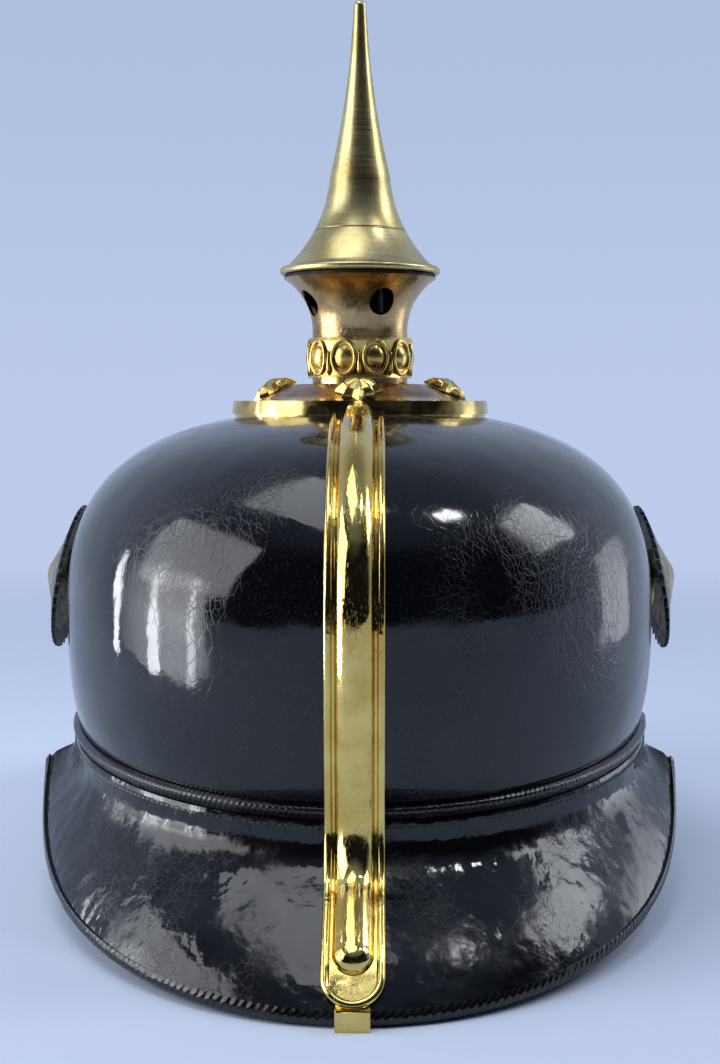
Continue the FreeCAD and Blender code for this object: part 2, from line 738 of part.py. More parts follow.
def make_base_plate(outside):
    """A sheet-brass plate: flared rim band, level step, low dome; its foot fits the skull."""
    rim = d.plate_radius
    inner = rim - d.plate_sheet
    foot = -(d.plate_band + 3.0)
    top = d.plate_dome
    body = turned("plate_sheet_body", [
        (rim - 0.5, foot), (rim - 0.5, -d.plate_band), (rim + d.plate_flare, -d.plate_band),
        (rim, 0.0), (d.plate_flat, 0.0), (d.plate_dome_radius, top), (d.plate_bore, top),
        (d.plate_bore, top - d.plate_sheet), (d.plate_dome_radius - 0.2, top - d.plate_sheet),
        (d.plate_flat - 0.2, -d.plate_sheet), (inner - 0.5, -d.plate_sheet), (inner - 0.5, foot)])
    lift(body, plate_top())
    drills = []
    for turn in range(4):
        angle = math.radians(90 * turn)
        drills.append(crown_drill(math.cos(angle), math.sin(angle), d.stud_radius + d.screw_play))
    tools = helper("Part::MultiFuse", "plate_tools")
    tools.Shapes = drills + [outside]
    return keep(boolean("Cut", "base_plate", body, tools), "base_plate")


def star_shape():
    """A faceted star: points and valleys at the rim, ridges that run up to a small crown."""
    def ring(scale, height):
        corners = []
        count = int(d.star_points)
        for step in range(2 * count):
            radius = float(d.star_radius if step % 2 == 0 else d.star_valley) * scale
            angle = math.pi * step / count
            corners.append(Vector(radius * math.cos(angle), radius * math.sin(angle), height))
        return Part.makePolygon(corners + corners[:1])

    tall = float(d.star_height)
    return Part.makeLoft([ring(1.0, 0.0), ring(1.0, 0.5), ring(0.72, tall * 0.62),
                          ring(0.12, tall)], True, True)


def round_the_studs(shape):
    """Four copies round the crown: the back, both sides and the front."""
    copies = []
    for turn in range(4):
        copies.append(shape.copy().rotate(Vector(), UP, 90 * turn))
    return Part.makeCompound(copies)


def make_studs():
    slope = math.degrees(math.atan2(float(d.plate_dome),
                                    float(d.plate_flat - d.plate_dome_radius)))
    circle = float(d.star_circle)
    share = float((d.plate_flat - d.star_circle) / (d.plate_flat - d.plate_dome_radius))
    seat = float(plate_top() + d.plate_dome * share)
    head = star_shape()
    head.Placement = Placement(Vector(circle, 0, seat + 0.06), Rotation(Vector(0, 1, 0), slope))
    nut_top = crown_seat(d.skull_wall)
    foot = nut_top - float(d.stud_nut_height) - 0.6
    shank = Part.makeCylinder(float(d.stud_radius), seat + 1.0 - foot, Vector(circle, 0, foot))
    own_shape("star_studs", round_the_studs(head.fuse(shank)))
    nut = Part.makeCylinder(float(d.stud_nut_radius), float(d.stud_nut_height),
                            Vector(circle, 0, nut_top - float(d.stud_nut_height)))
    nut = nut.cut(Part.makeCylinder(float(d.stud_radius), float(d.skull_top),
                                    Vector(circle, 0, 0)))
    own_shape("stud_nuts", round_the_studs(nut))


def crown_seat(wall):
    """Height at which a stud's nut meets the skull's inner face at its outer edge."""
    return skull_height(float(d.star_circle + d.stud_nut_radius),
                        float(d.skull_half_width - wall), float(wall)) - 0.05


def make_pearl_ring():
    """A band round the neck's foot that carries a row of oval pearls."""
    half = d.ring_height / 2
    body = turned("pearl_band", [
        (d.neck_radius, 0.0), (d.ring_radius + 0.5, 0.0), (d.ring_radius, 1.2),
        (d.ring_radius, d.ring_height - 1.2), (d.ring_radius + 0.5, d.ring_height),
        (d.neck_radius, d.ring_height)])
    lift(body, plate_top() + d.plate_dome + d.neck_foot)
    doc.recompute()
    wide = float(d.pearl_half_width)
    tall = float(half) - 0.5
    centre = float(plate_top() + d.plate_dome + d.neck_foot + half)
    axis = Vector(float(d.ring_radius + d.pearl_proud) - wide, 0, centre)
    face = Part.Face(Part.Wire([
        Part.Arc(axis - UP * tall, axis + Vector(wide, 0, 0), axis + UP * tall).toShape(),
        Part.makeLine(axis + UP * tall, axis - UP * tall)]))
    spindle = face.revolve(axis, UP, 360)
    pearls = []
    for number in range(int(d.pearls)):
        turn = 90.0 + 180.0 / int(d.pearls) + 360.0 * number / int(d.pearls)
        pearls.append(spindle.copy().rotate(Vector(), UP, turn))
    bore = Part.makeCylinder(float(d.neck_radius), 4 * float(d.ring_height),
                             Vector(0, 0, centre - 2 * float(d.ring_height)))
    shape = body.Shape.fuse(pearls).cut(bore)
    return own_shape("pearl_ring", shape)


def make_neck():
    """A trumpet-shaped neck with four air holes, open to the skull below."""
    wall = d.neck_sheet
    radius = d.neck_radius
    top = d.neck_height
    rise = d.neck_rise
    body = turned("spike_neck", [
        (radius, 0.0), (radius, rise, -d.neck_flare), (d.neck_mouth, top),
        (d.neck_mouth - wall, top, d.neck_flare + wall), (radius - wall, rise),
        (radius - wall, 0.0)])
    lift(body, plate_top() + d.plate_dome)
    for number in range(2):
        plane = "XZ_Plane" if number == 0 else "YZ_Plane"
        hole = new_sketch(body, plane, f"vent_sketch{number}")
        circle = hole.addGeometry(Part.Circle(Vector(0, float(d.vent_height), 0), UP,
                                              float(d.vent_radius)))
        hole.addConstraint(Sketcher.Constraint("DistanceX", -1, 1, circle, 3, 0.0))
        for kind, value in (("DistanceY", d.vent_height), ("Radius", d.vent_radius)):
            if kind == "Radius":
                mark = hole.addConstraint(Sketcher.Constraint(kind, circle, float(value)))
            else:
                mark = hole.addConstraint(Sketcher.Constraint(kind, -1, 1, circle, 3, float(value)))
            hole.renameConstraint(mark, kind)
            bind(hole, f"Constraints.{kind}", value)
        pocket = body.newObject("PartDesign::Pocket", f"vents{number}")
        pocket.Profile = hole
        pocket.Type = "ThroughAll"
        pocket.Midplane = True
        hole.Visibility = False
    body.Placement = Placement(body.Placement.Base, Rotation(UP, float(d.vent_turn)))
    return keep(body, "spike_neck")


def make_bush():
    """A disc on the neck's mouth with the threaded bush that the spike screws into."""
    top = d.bush_sheet
    bore = d.screw_radius + d.screw_play
    body = turned("neck_bush", [
        (bore, top - d.bush_depth), (d.bush_radius, top - d.bush_depth), (d.bush_radius, 0.0),
        (d.neck_mouth - 0.3, 0.0), (d.neck_mouth - 0.3, top), (bore, top)])
    lift(body, plate_top() + d.plate_dome + d.neck_height)
    return keep(body, "neck_bush")


def spike_foot():
    """Height of the spike's lower face."""
    return plate_top() + d.plate_dome + d.neck_height + d.bush_sheet + d.spike_gap


def make_spike():
    """A hollow spike: rolled brim, hollow-curved foot and slender shaft with a round tip."""
    wall = d.spike_sheet
    brim = d.spike_brim
    tall = d.spike_height
    body = turned("spike", [
        (brim - 0.5, 0.0), (brim, 0.5), (brim, d.spike_brim_roll - 0.7),
        (brim - 0.7, d.spike_brim_roll), (brim - 1.9, d.spike_brim_roll, -d.spike_foot_curve),
        (d.spike_hip_radius, d.spike_hip, -d.spike_shaft_curve),
        (d.spike_tip, tall - d.spike_tip, d.spike_tip), (0.3, tall), (0.0, tall),
        (0.0, tall * 0.8), (0.4, tall * 0.8), (d.spike_hip_radius - wall * 1.6, d.spike_hip),
        (d.spike_hip_radius + wall * 2.5, d.spike_hip * 0.42),
        (brim - 3.2 * wall, d.spike_brim_roll * 0.9), (brim - 2.0 * wall, 0.0)])
    lift(body, spike_foot())
    return keep(body, "spike")


def make_spike_screw():
    """The plug inside the spike's brim and the screw that it carries."""
    radius = d.spike_brim - 2.0 * d.spike_sheet - 0.05
    body = turned("spike_screw", [
        (0.0, 1.0 - d.bush_depth), (d.screw_radius, 1.0 - d.bush_depth), (d.screw_radius, 0.0),
        (radius, 0.0), (radius - 1.2, d.plug_height), (0.0, d.plug_height)])
    lift(body, spike_foot())
    return keep(body, "spike_screw")


# ---------------------------------------------------------------- side posts and cockades

def side_name(side):
    return "right" if side < 0 else "left"


def post_place(side, out):
    """A point on a post's line, a distance out from the skull's widest face."""
    return Vector(side * (float(d.skull_half_width) + out), -float(d.post_forward),
                  float(d.post_height))


def make_side(side):
    """Post, nut, toothed cockade and raised centre on one side of the skull."""
    name = side_name(side)
    out = Rotation(UP, Vector(side, 0, 0))
    stand = float(d.cockade_stand)
    post_tip = stand + float(d.cockade_dish) + float(d.cockade_sheet)
    inside = float(d.skull_wall) + 1.2
    nut_end = inside + float(d.post_nut_height)
    post = Part.makeCylinder(float(d.post_radius), nut_end + post_tip, post_place(side, -nut_end),
                             Vector(side, 0, 0))
    own_shape(f"side_post_{name}", post)
    nut = Part.makeCylinder(float(d.post_nut_radius), float(d.post_nut_height),
                            post_place(side, -nut_end), Vector(side, 0, 0))
    nut = nut.cut(post)
    own_shape(f"post_nut_{name}", nut)

    radius, dish, leaf = (float(d.cockade_radius), float(d.cockade_dish), float(d.cockade_sheet))
    teeth = []
    count = int(d.cockade_teeth)
    for step in range(2 * count):
        reach = radius if step % 2 == 0 else float(d.cockade_root)
        angle = math.pi * step / count
        teeth.append(Vector(reach * math.cos(angle), reach * math.sin(angle), -1.0))
    blank = Part.Face(Part.makePolygon(teeth + teeth[:1]))
    blank = blank.extrude(Vector(0, 0, dish + 2 * leaf + 2))
    dome = Part.makeCone(radius, 5.0, dish, Vector(0, 0, leaf)).fuse(
        Part.makeCylinder(radius, leaf))
    hollow = Part.makeCone(radius, 5.0, dish)
    disc = dome.cut(hollow).common(blank)
    disc = disc.cut(Part.makeCylinder(float(d.post_radius) + 0.9, 3 * radius))
    lean = Rotation(Vector(0, 1, 0), -side * float(d.cockade_lean))
    place = Placement(post_place(side, stand), lean.multiply(out))
    own_shape(f"cockade_{name}", max(disc.Solids, key=lambda solid: solid.Volume), place)

    boss_radius, boss = float(d.cockade_centre_radius), float(d.cockade_centre_height)
    slope = dish / (radius - 5.0)
    under = Part.makeCone(boss_radius, 5.0, slope * (boss_radius - 5.0))
    cap = Part.makeCone(boss_radius, 2.2, boss + slope * (boss_radius - 5.0)).cut(under)
    cap = cap.cut(Part.makeCylinder(float(d.post_radius) + 0.3, 0.5 + slope * (boss_radius - 5.0)))
    seat = lean.multiply(out).multVec(Vector(0, 0, leaf + dish - slope * (boss_radius - 5.0) + 0.05))
    own_shape(f"cockade_centre_{name}", max(cap.Solids, key=lambda solid: solid.Volume),
              Placement(post_place(side, stand) + seat, lean.multiply(out)))


# ---------------------------------------------------------------- scaled chin strap

def strap_route(side):
    """Middle line of the strap from a post, down past the seam's end and round the front."""
    off = float(d.strap_clear + d.strap_leather / 2)
    post_y, post_z = -float(d.post_forward), float(d.post_height)
    low, front = float(d.strap_low), float(d.strap_front)
    side_plan = ((0.0, post_z), (4.0, post_z - 11.0), (12.0, low + 5.5), (25.0, low + 1.0),
                 (45.0, low), (66.0, low + (front - low) * 0.4))
    points = []
    for ahead, height in side_plan:
        y = post_y - ahead
        share = skull_share(height)
        angle = math.degrees(math.acos(max(-1.0, y / (float(d.skull_half_length) * share + off))))
        points.append(beside_skull(-side * angle, height, off))
    for angle in (150.0, 166.0, 179.75):
        height = front - (front - low) * 0.3 * (180.0 - angle) / 30.0
        points.append(beside_skull(-side * angle, height, off))
    return points


def strap_frames(side, count):
    """Places along the strap with the way it runs, its width's way and its outward way."""
    curve = Part.BSplineCurve()
    curve.interpolate(strap_route(side))
    total = curve.length()
    frames = []
    for distance in spread(0.0, total, count):
        step = curve.parameterAtDistance(distance, curve.FirstParameter)
        place, way = curve.value(step), curve.tangent(step)[0]
        fall = skull_share(place.z - 0.5) - skull_share(place.z + 0.5)
        outward = Vector(place.x / float(d.skull_half_width) ** 2,
                         place.y / float(d.skull_half_length) ** 2, fall).normalize()
        outward = (outward - way * outward.dot(way)).normalize()
        share = distance / total
        half = float(d.strap_post_half + (d.strap_front_half - d.strap_post_half) * share)
        frames.append(SimpleNamespace(place=place, way=way, across=way.cross(outward).normalize(),
                                      outward=outward, half=half, share=share, total=total))
    return frames


def make_strap(side):
    """The strap's leather, its end plate and its row of overlapping scales."""
    name = side_name(side)
    frames = strap_frames(side, 25)
    thick = float(d.strap_leather)
    outer, inner = [], []
    for frame in frames:
        rows = [frame.place + frame.across * (frame.half * step)
                for step in (-0.9, -0.45, 0, 0.45, 0.9)]
        outer.append([place + frame.outward * (thick / 2) for place in rows])
        inner.append([place - frame.outward * (thick / 2) for place in rows])
    leather = slab(outer, inner)
    eye_place = frames[0].place - Vector(side * thick / 2, 0, 0)
    eye = Part.makeCylinder(float(d.ring_end_radius), thick, eye_place, Vector(side, 0, 0))
    drill = Part.makeCylinder(float(d.post_radius + d.post_play), 60.0,
                              post_place(side, -30.0), Vector(side, 0, 0))
    leather = leather.fuse(eye).cut(drill)
    own_shape(f"strap_leather_{name}", max(leather.Solids, key=lambda solid: solid.Volume))
    seat = eye_place + Vector(side * (thick + 0.6), 0, 0)
    plate = Part.makeCylinder(float(d.rosette_radius), float(d.rosette_sheet), seat,
                              Vector(side, 0, 0)).cut(drill)
    own_shape(f"strap_end_{name}", plate)
    own_shape(f"strap_scales_{name}", Part.makeCompound(make_scales(side)))


def make_scales(side):
    """Graduated scales with round ends, each tilted so that it lies over the next."""
    count = int(d.scale_count)
    first = float(d.scale_start)
    last = float(d.buckle_half_width + d.scale_overlap) + 0.8
    frames = strap_frames(side, 400)
    total = frames[0].total
    pitch = (total - first - last) / count
    sheet_thick = float(d.scale_sheet)
    length = pitch + float(d.scale_overlap)
    tilt = math.asin((sheet_thick + 0.12) / pitch)
    scales = []
    for number in range(count):
        distance = first + pitch * number
        frame = frames[int(round(distance / total * (len(frames) - 1)))]
        half = frame.half
        nose = length - half * 0.55
        face = Part.Face(Part.Wire([
            Part.makeLine(Vector(0, -half * 0.9, 0), Vector(0, half * 0.9, 0)),
            Part.makeLine(Vector(0, half * 0.9, 0), Vector(nose, half, 0)),
            Part.Arc(Vector(nose, half, 0), Vector(length, 0, 0), Vector(nose, -half, 0)).toShape(),
            Part.makeLine(Vector(nose, -half, 0), Vector(0, -half * 0.9, 0))]))
        scale = face.extrude(Vector(0, 0, sheet_thick))
        scale.rotate(Vector(), Vector(0, 1, 0), -math.degrees(tilt))
        turn = FreeCAD.Matrix()
        way = frame.way
        out = frame.outward
        across = out.cross(way)
        base = frame.place + out * (float(d.strap_leather) / 2 + 0.06)
        turn.A11, turn.A12, turn.A13, turn.A14 = way.x, across.x, out.x, base.x
        turn.A21, turn.A22, turn.A23, turn.A24 = way.y, across.y, out.y, base.y
        turn.A31, turn.A32, turn.A33, turn.A34 = way.z, across.z, out.z, base.z
        scale.transformShape(turn)
        scales.append(scale)
    return scales


def make_buckle():
    """The front buckle: an open frame round the straps' ends, with its tongue bar."""
    half_height, half_width = float(d.buckle_half_height), float(d.buckle_half_width)
    depth = float(d.strap_leather) + 2.0
    middle = strap_route(1)[-1]
    front = middle.y - float(d.strap_leather) / 2
    frame = Part.makeBox(2 * half_width, 1.6, 2 * half_height,
                         Vector(-half_width, front - 1.9, middle.z - half_height))
    window = Part.makeBox(2 * half_width - 5.0, depth, 2 * half_height - 5.0,
                          Vector(2.5 - half_width, front - depth, middle.z - half_height + 2.5))
    bar = Part.makeBox(2.0, 1.6, 2 * half_height - 4.0,
                       Vector(-1.0, front - 1.9, middle.z - half_height + 2.0))
    own_shape("strap_buckle", frame.cut(window).fuse(bar))


# ---------------------------------------------------------------- lining

def make_sweatband():
    """A leather band inside the skull, trimmed level with the skull's tilted rim."""
    gap = d.skull_wall + d.sweatband_gap
    inner_gap = gap + d.sweatband_leather
    outside = elliptic_dome("band_outside", band_sections(gap))
    inside = elliptic_dome("band_inside", band_sections(inner_gap))
    hollow = boolean("Cut", "band_hollow", outside, inside)
    lower = boolean("Cut", "band_lower", hollow, below_seam("band_rim", d.skull_overlap - 0.5))
    drills = helper("Part::MultiFuse", "band_drills")
    drills.Shapes = [post_drill(-1), post_drill(1)]
    return keep(boolean("Cut", "sweatband", lower, drills), "sweatband")


def band_sections(off):
    rows = []
    for step in (-25.0, -20.0, -15.0, -10.0, -5.0, 0.0):
        height = d.skull_girth - 6.0 + step * (d.sweatband_height / 34.0)
        part = (d.skull_girth - height) / d.skull_under
        share = (1 - part ** d.skull_power) ** (1 / d.skull_power)
        rows.append((height, (d.skull_half_width - d.skull_wall) * share - (off - d.skull_wall),
                     (d.skull_half_length - d.skull_wall) * share - (off - d.skull_wall)))
    return rows


def make_tongues():
    """Leather tongues that rise from the sweatband and lean in towards the crown."""
    count = int(d.tongues)
    foot = float(d.skull_girth) - 5.8
    tip = float(d.tongue_top)
    tongues = []
    for number in range(count):
        middle = 360.0 * (number + 0.5) / count
        outer, inner = [], []
        for share in spread(0.0, 1.0, 7):
            height = foot + (tip - foot) * share
            lean = -float(d.skull_wall + d.sweatband_gap + d.sweatband_leather) - 0.1
            lean -= 10.0 * share ** 0.8
            wide = 360.0 / count / 2 * 0.94
            reach = beside_skull(middle, height, lean)
            tip_wide = math.degrees(math.atan2(float(d.tongue_tip_half),
                                               math.hypot(reach.x, reach.y)))
            half = wide + (tip_wide - wide) * share ** 1.3
            row = [middle + half * step for step in spread(-1.0, 1.0, 5)]
            outer.append([beside_skull(angle, height, lean) for angle in row])
            inner.append([beside_skull(angle, height, lean - float(d.tongue_leather))
                          for angle in row])
        tongues.append(slab(outer, inner))
    own_shape("liner_tongues", Part.makeCompound(tongues))


# ---------------------------------------------------------------- assembly

skull, skull_outside = make_skull()
doc.recompute()
rear_visor = make_visor("rear_visor", REAR)
rear_binding = make_edging("rear_visor_binding", REAR, d.binding_width, d.binding_thick)
rear_band = make_seam_band("rear_seam_band", REAR)
make_visor("front_visor", FRONT)
make_edging("front_visor_trim", FRONT, d.trim_width, d.trim_thick)
make_seam_band("front_seam_band", FRONT)
make_base_plate(skull_outside)
make_studs()
make_neck()
make_bush()
make_spike()
make_spike_screw()
doc.recompute()
make_pearl_ring()
neighbours = [skull_outside.Shape, rear_band.Shape, rear_visor.Shape, rear_binding.Shape]
spine = make_spine(neighbours)
make_hook(neighbours + [spine.Shape])
for side in (-1, 1):
    make_side(side)
    make_strap(side)
make_buckle()
make_sweatband()
make_tongues()
doc.recompute()

for item in doc.Objects:
    if "Invalid" in item.State or "Error" in item.State:
        raise RuntimeError(f"{item.Label} did not recompute: {item.State}")
os.makedirs("parts", exist_ok=True)
for feature in parts:
    shape = feature.Shape
    if shape.isNull() or not shape.isValid():
        raise RuntimeError(f"{feature.Label} has no valid shape")
    print(feature.Label, len(shape.Solids), round(shape.Volume, 1))
    shape.exportStep(f"parts/{feature.Label}.step")
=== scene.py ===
"""Spiked leather parade helmet: finishes, stitching, castings and the studio round the frame.

Lengths in this file are metres unless a name ends in _mm, and the frame is the frame model's own:
+Z up along the spike, -Y the way the wearer looks, the floor at z = 0.
"""
import math

import bmesh
import bpy
from mathutils import Matrix, Vector, noise
from mathutils.bvhtree import BVHTree


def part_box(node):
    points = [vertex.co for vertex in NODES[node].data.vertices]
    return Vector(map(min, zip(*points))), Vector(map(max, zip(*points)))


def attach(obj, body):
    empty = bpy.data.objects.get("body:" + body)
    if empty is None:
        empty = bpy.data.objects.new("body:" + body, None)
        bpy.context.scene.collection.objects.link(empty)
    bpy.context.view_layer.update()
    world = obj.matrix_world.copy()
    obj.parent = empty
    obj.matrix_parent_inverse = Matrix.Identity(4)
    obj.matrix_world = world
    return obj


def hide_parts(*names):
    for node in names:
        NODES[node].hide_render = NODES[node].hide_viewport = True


bl_info = {
    "name": "Spiked parade helmet",
    "version": (1, 0, 0),
    "blender": (4, 5, 0),
    "location": "3D View > Sidebar > Helmet",
    "description": "Dresses the frame of a spiked leather helmet and lights it",
    "category": "Object",
}

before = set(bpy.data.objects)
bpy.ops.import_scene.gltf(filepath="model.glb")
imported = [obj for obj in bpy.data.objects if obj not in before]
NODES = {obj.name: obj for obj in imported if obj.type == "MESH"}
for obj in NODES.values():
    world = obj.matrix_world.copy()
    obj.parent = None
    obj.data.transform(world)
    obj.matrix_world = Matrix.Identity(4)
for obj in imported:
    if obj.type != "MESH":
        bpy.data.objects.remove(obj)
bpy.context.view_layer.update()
MM = 0.001
RING_LOW, RING_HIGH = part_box("pearl_ring")
SPIKE_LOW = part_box("spike")[0]
PLATE_RIM_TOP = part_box("base_plate")[1].z - 5.0 * MM
SIDES = (("right", -1), ("left", 1))
WELD = 0.004 * MM                                   # corners this close are one corner

# the seam of each visor: name, middle and half span in degrees round the axis from +Y
SEAMS = (("rear", 0.0, 79.0), ("front", 180.0, 70.0))
SEAM_HALF_LENGTH = 0.112                            # of the oval that the seams follow
RUBBED_FROM, RUBBED_TO = 0.040, 0.080               # along X, where the rear thread is bare

TONGUES = 10
FIRST_TONGUE = 18.0                                 # degrees round the oval from +Y
EYE_RADIUS, EYE_ROLL = 1.9 * MM, 0.55 * MM
EYE_BELOW_TOP = 6.5 * MM
RIVETS = ((0.0205, 0.0615), (0.0170, 0.0585))       # ahead of the middle, height
RIVET_RADIUS, RIVET_DOME = 1.7 * MM, 0.55           # and the dome's share of a half ball

CASTING_RADIUS = 15.6 * MM                          # from the axis to the pearls' middles
PEARL_HALF_WIDTH = 4.25 * MM
DART_FOOT, DART_TIP = 1.35 * MM, 0.315 * MM

FLOOR_GLOW = "#bccbeb"
LAMP_COLOUR = (0.93, 0.96, 1.0)
LAMP_AIM = 0.11                                     # height that the lamps face
LOW_LAMP_SPREAD = 64.0                              # degrees, of the lamps at floor level
# name, azimuth from +Y towards +X, elevation, distance, width, height, radiance
LAMPS = (("window_left", 74.0, 24.0, 1.15, 0.95, 0.70, 3.2),
         ("screen_left", 78.0, -1.0, 0.46, 0.36, 0.20, 0.55),
         ("pane_far", 99.0, -1.0, 0.44, 0.022, 0.20, 1.7),
         ("pane_middle", 79.0, -1.0, 0.44, 0.030, 0.20, 1.9),
         ("pane_near", 62.0, -1.0, 0.44, 0.020, 0.20, 1.6),
         ("window_right", -96.0, 34.0, 1.15, 0.42, 0.46, 5.0),
         ("skylight", -66.0, 60.0, 1.15, 0.13, 0.11, 26.0),
         ("screen_right", -112.0, -1.0, 0.52, 0.18, 0.20, 0.30),
         ("ceiling", 58.0, 76.0, 1.20, 0.85, 0.60, 2.8))
CAMERA_LENS, CAMERA_SENSOR = 50.75, 36.0            # millimetres
CAMERA_DISTANCE, CAMERA_TURN, CAMERA_PITCH = 0.465, -0.7, 85.0


# ---------------------------------------------------------------- colours and nodes

def linear(hex_colour):
    """An sRGB hex colour as linear red, green, blue and full alpha."""
    channels = [int(hex_colour[i:i + 2], 16) / 255 for i in (1, 3, 5)]
    return tuple(c / 12.92 if c <= 0.04045 else ((c + 0.055) / 1.055) ** 2.4
                 for c in channels) + (1.0,)


def add_node(tree, kind, links=None, **settings):
    """Add a node; links gives its sockets their values or the sockets that feed them."""
    node = tree.nodes.new(kind)
    for name, value in settings.items():
        setattr(node, name, value)
    for socket, value in (links or {}).items():
        if isinstance(value, bpy.types.NodeSocket):
            tree.links.new(value, node.inputs[socket])
        else:
            node.inputs[socket].default_value = value
    return node


def start_material(name, **shader_values):
    """A material with its shader wired up, and its object coordinates in millimetres."""
    material = bpy.data.materials.new(name)
    material.use_nodes = True
    tree = material.node_tree
    tree.nodes.clear()
    sockets = {key.replace("_", " "): value for key, value in shader_values.items()}
    shader = add_node(tree, "ShaderNodeBsdfPrincipled", sockets)
    add_node(tree, "ShaderNodeOutputMaterial", {"Surface": shader.outputs["BSDF"]})
    coordinates = add_node(tree, "ShaderNodeTexCoord").outputs["Object"]
    millimetres = add_node(tree, "ShaderNodeMapping", {"Vector": coordinates,
                                                       "Scale": (1000, 1000, 1000)})
    return material, tree, shader, millimetres.outputs["Vector"]


def stretched(tree, vector, scale, turn=(0.0, 0.0, 0.0)):
    """The coordinates turned, then squeezed or stretched along their axes."""
    node = add_node(tree, "ShaderNodeMapping", {
        "Vector": vector, "Scale": scale, "Rotation": tuple(math.radians(a) for a in turn)})
    return node.outputs["Vector"]


def grain(tree, vector, size_mm, detail=2.0, roughness=0.5, distortion=0.0):
    """Noise whose features are about size_mm across, from 0 to 1."""
    return add_node(tree, "ShaderNodeTexNoise", {
        "Vector": vector, "Scale": 1 / size_mm, "Detail": detail, "Roughness": roughness,
        "Distortion": distortion}).outputs["Fac"]


def remap(tree, value, low, high, to_low=0.0, to_high=1.0):
    """A value carried smoothly from one range to another, and held at the ends."""
    return add_node(tree, "ShaderNodeMapRange", {
        "Value": value, "From Min": low, "From Max": high, "To Min": to_low, "To Max": to_high},
        interpolation_type="SMOOTHSTEP").outputs["Result"]


def combine(tree, work, first, second):
    """Two values put through one sum; a sum of one value ignores the second."""
    return add_node(tree, "ShaderNodeMath", {0: first, 1: second}, operation=work).outputs[0]


def blend(tree, share, first, second):
    """Two colours mixed by a share."""
    node = add_node(tree, "ShaderNodeMix", {0: share, 6: first, 7: second}, data_type="RGBA")
    return node.outputs[2]


def crazing(tree, vector, cell_mm, line_mm, wander_mm):
    """Fine crack lines between cells of varnish, 1 on a line and 0 between."""
    wander = add_node(tree, "ShaderNodeTexNoise", {"Vector": vector, "Scale": 1 / (cell_mm * 1.4),
                                                   "Detail": 3.0}).outputs["Color"]
    shift = add_node(tree, "ShaderNodeVectorMath", {0: wander, 3: wander_mm}, operation="SCALE")
    moved = add_node(tree, "ShaderNodeVectorMath", {0: vector, 1: shift.outputs[0]},
                     operation="ADD")
    edge = add_node(tree, "ShaderNodeTexVoronoi", {"Vector": moved.outputs[0],
                                                   "Scale": 1 / cell_mm, "Randomness": 1.0},
                    feature="DISTANCE_TO_EDGE").outputs["Distance"]
    return remap(tree, edge, line_mm * 0.35 / cell_mm, line_mm / cell_mm, 1.0, 0.0)


def hairlines(tree, vector, turn, width_mm, length_mm, rarity):
    """Short straight scratches along one direction, 1 on a scratch."""
    run = stretched(tree, vector, (1 / width_mm, 1 / length_mm, 1 / (width_mm * 6)), turn)
    streaks = add_node(tree, "ShaderNodeTexNoise", {"Vector": run, "Scale": 1.0, "Detail": 0.0})
    return remap(tree, streaks.outputs["Fac"], rarity, rarity + 0.05)


def specks(tree, vector, spacing_mm, size_mm, kept):
    """Dust: round dots at random places, of which only a share is kept."""
    dots = add_node(tree, "ShaderNodeTexVoronoi", {"Vector": vector, "Scale": 1 / spacing_mm,
                                                   "Randomness": 1.0})
    near = remap(tree, dots.outputs["Distance"], size_mm * 0.3 / spacing_mm,
                 size_mm * 0.6 / spacing_mm, 1.0, 0.0)
    chosen = add_node(tree, "ShaderNodeSeparateColor", {"Color": dots.outputs["Color"]})
    rare = combine(tree, "LESS_THAN", chosen.outputs[0], kept)
    return combine(tree, "MULTIPLY", near, rare)


def bumps(tree, shader, *layers):
    """Bump from layers of (height, depth in mm), each added on the one before."""
    normal = None
    for height, depth_mm in layers:
        sockets = {"Height": height, "Distance": depth_mm * MM, "Strength": 1.0}
        if normal is not None:
            sockets["Normal"] = normal
        normal = add_node(tree, "ShaderNodeBump", sockets).outputs["Normal"]
    tree.links.new(normal, shader.inputs["Normal"])


# ---------------------------------------------------------------- finishes

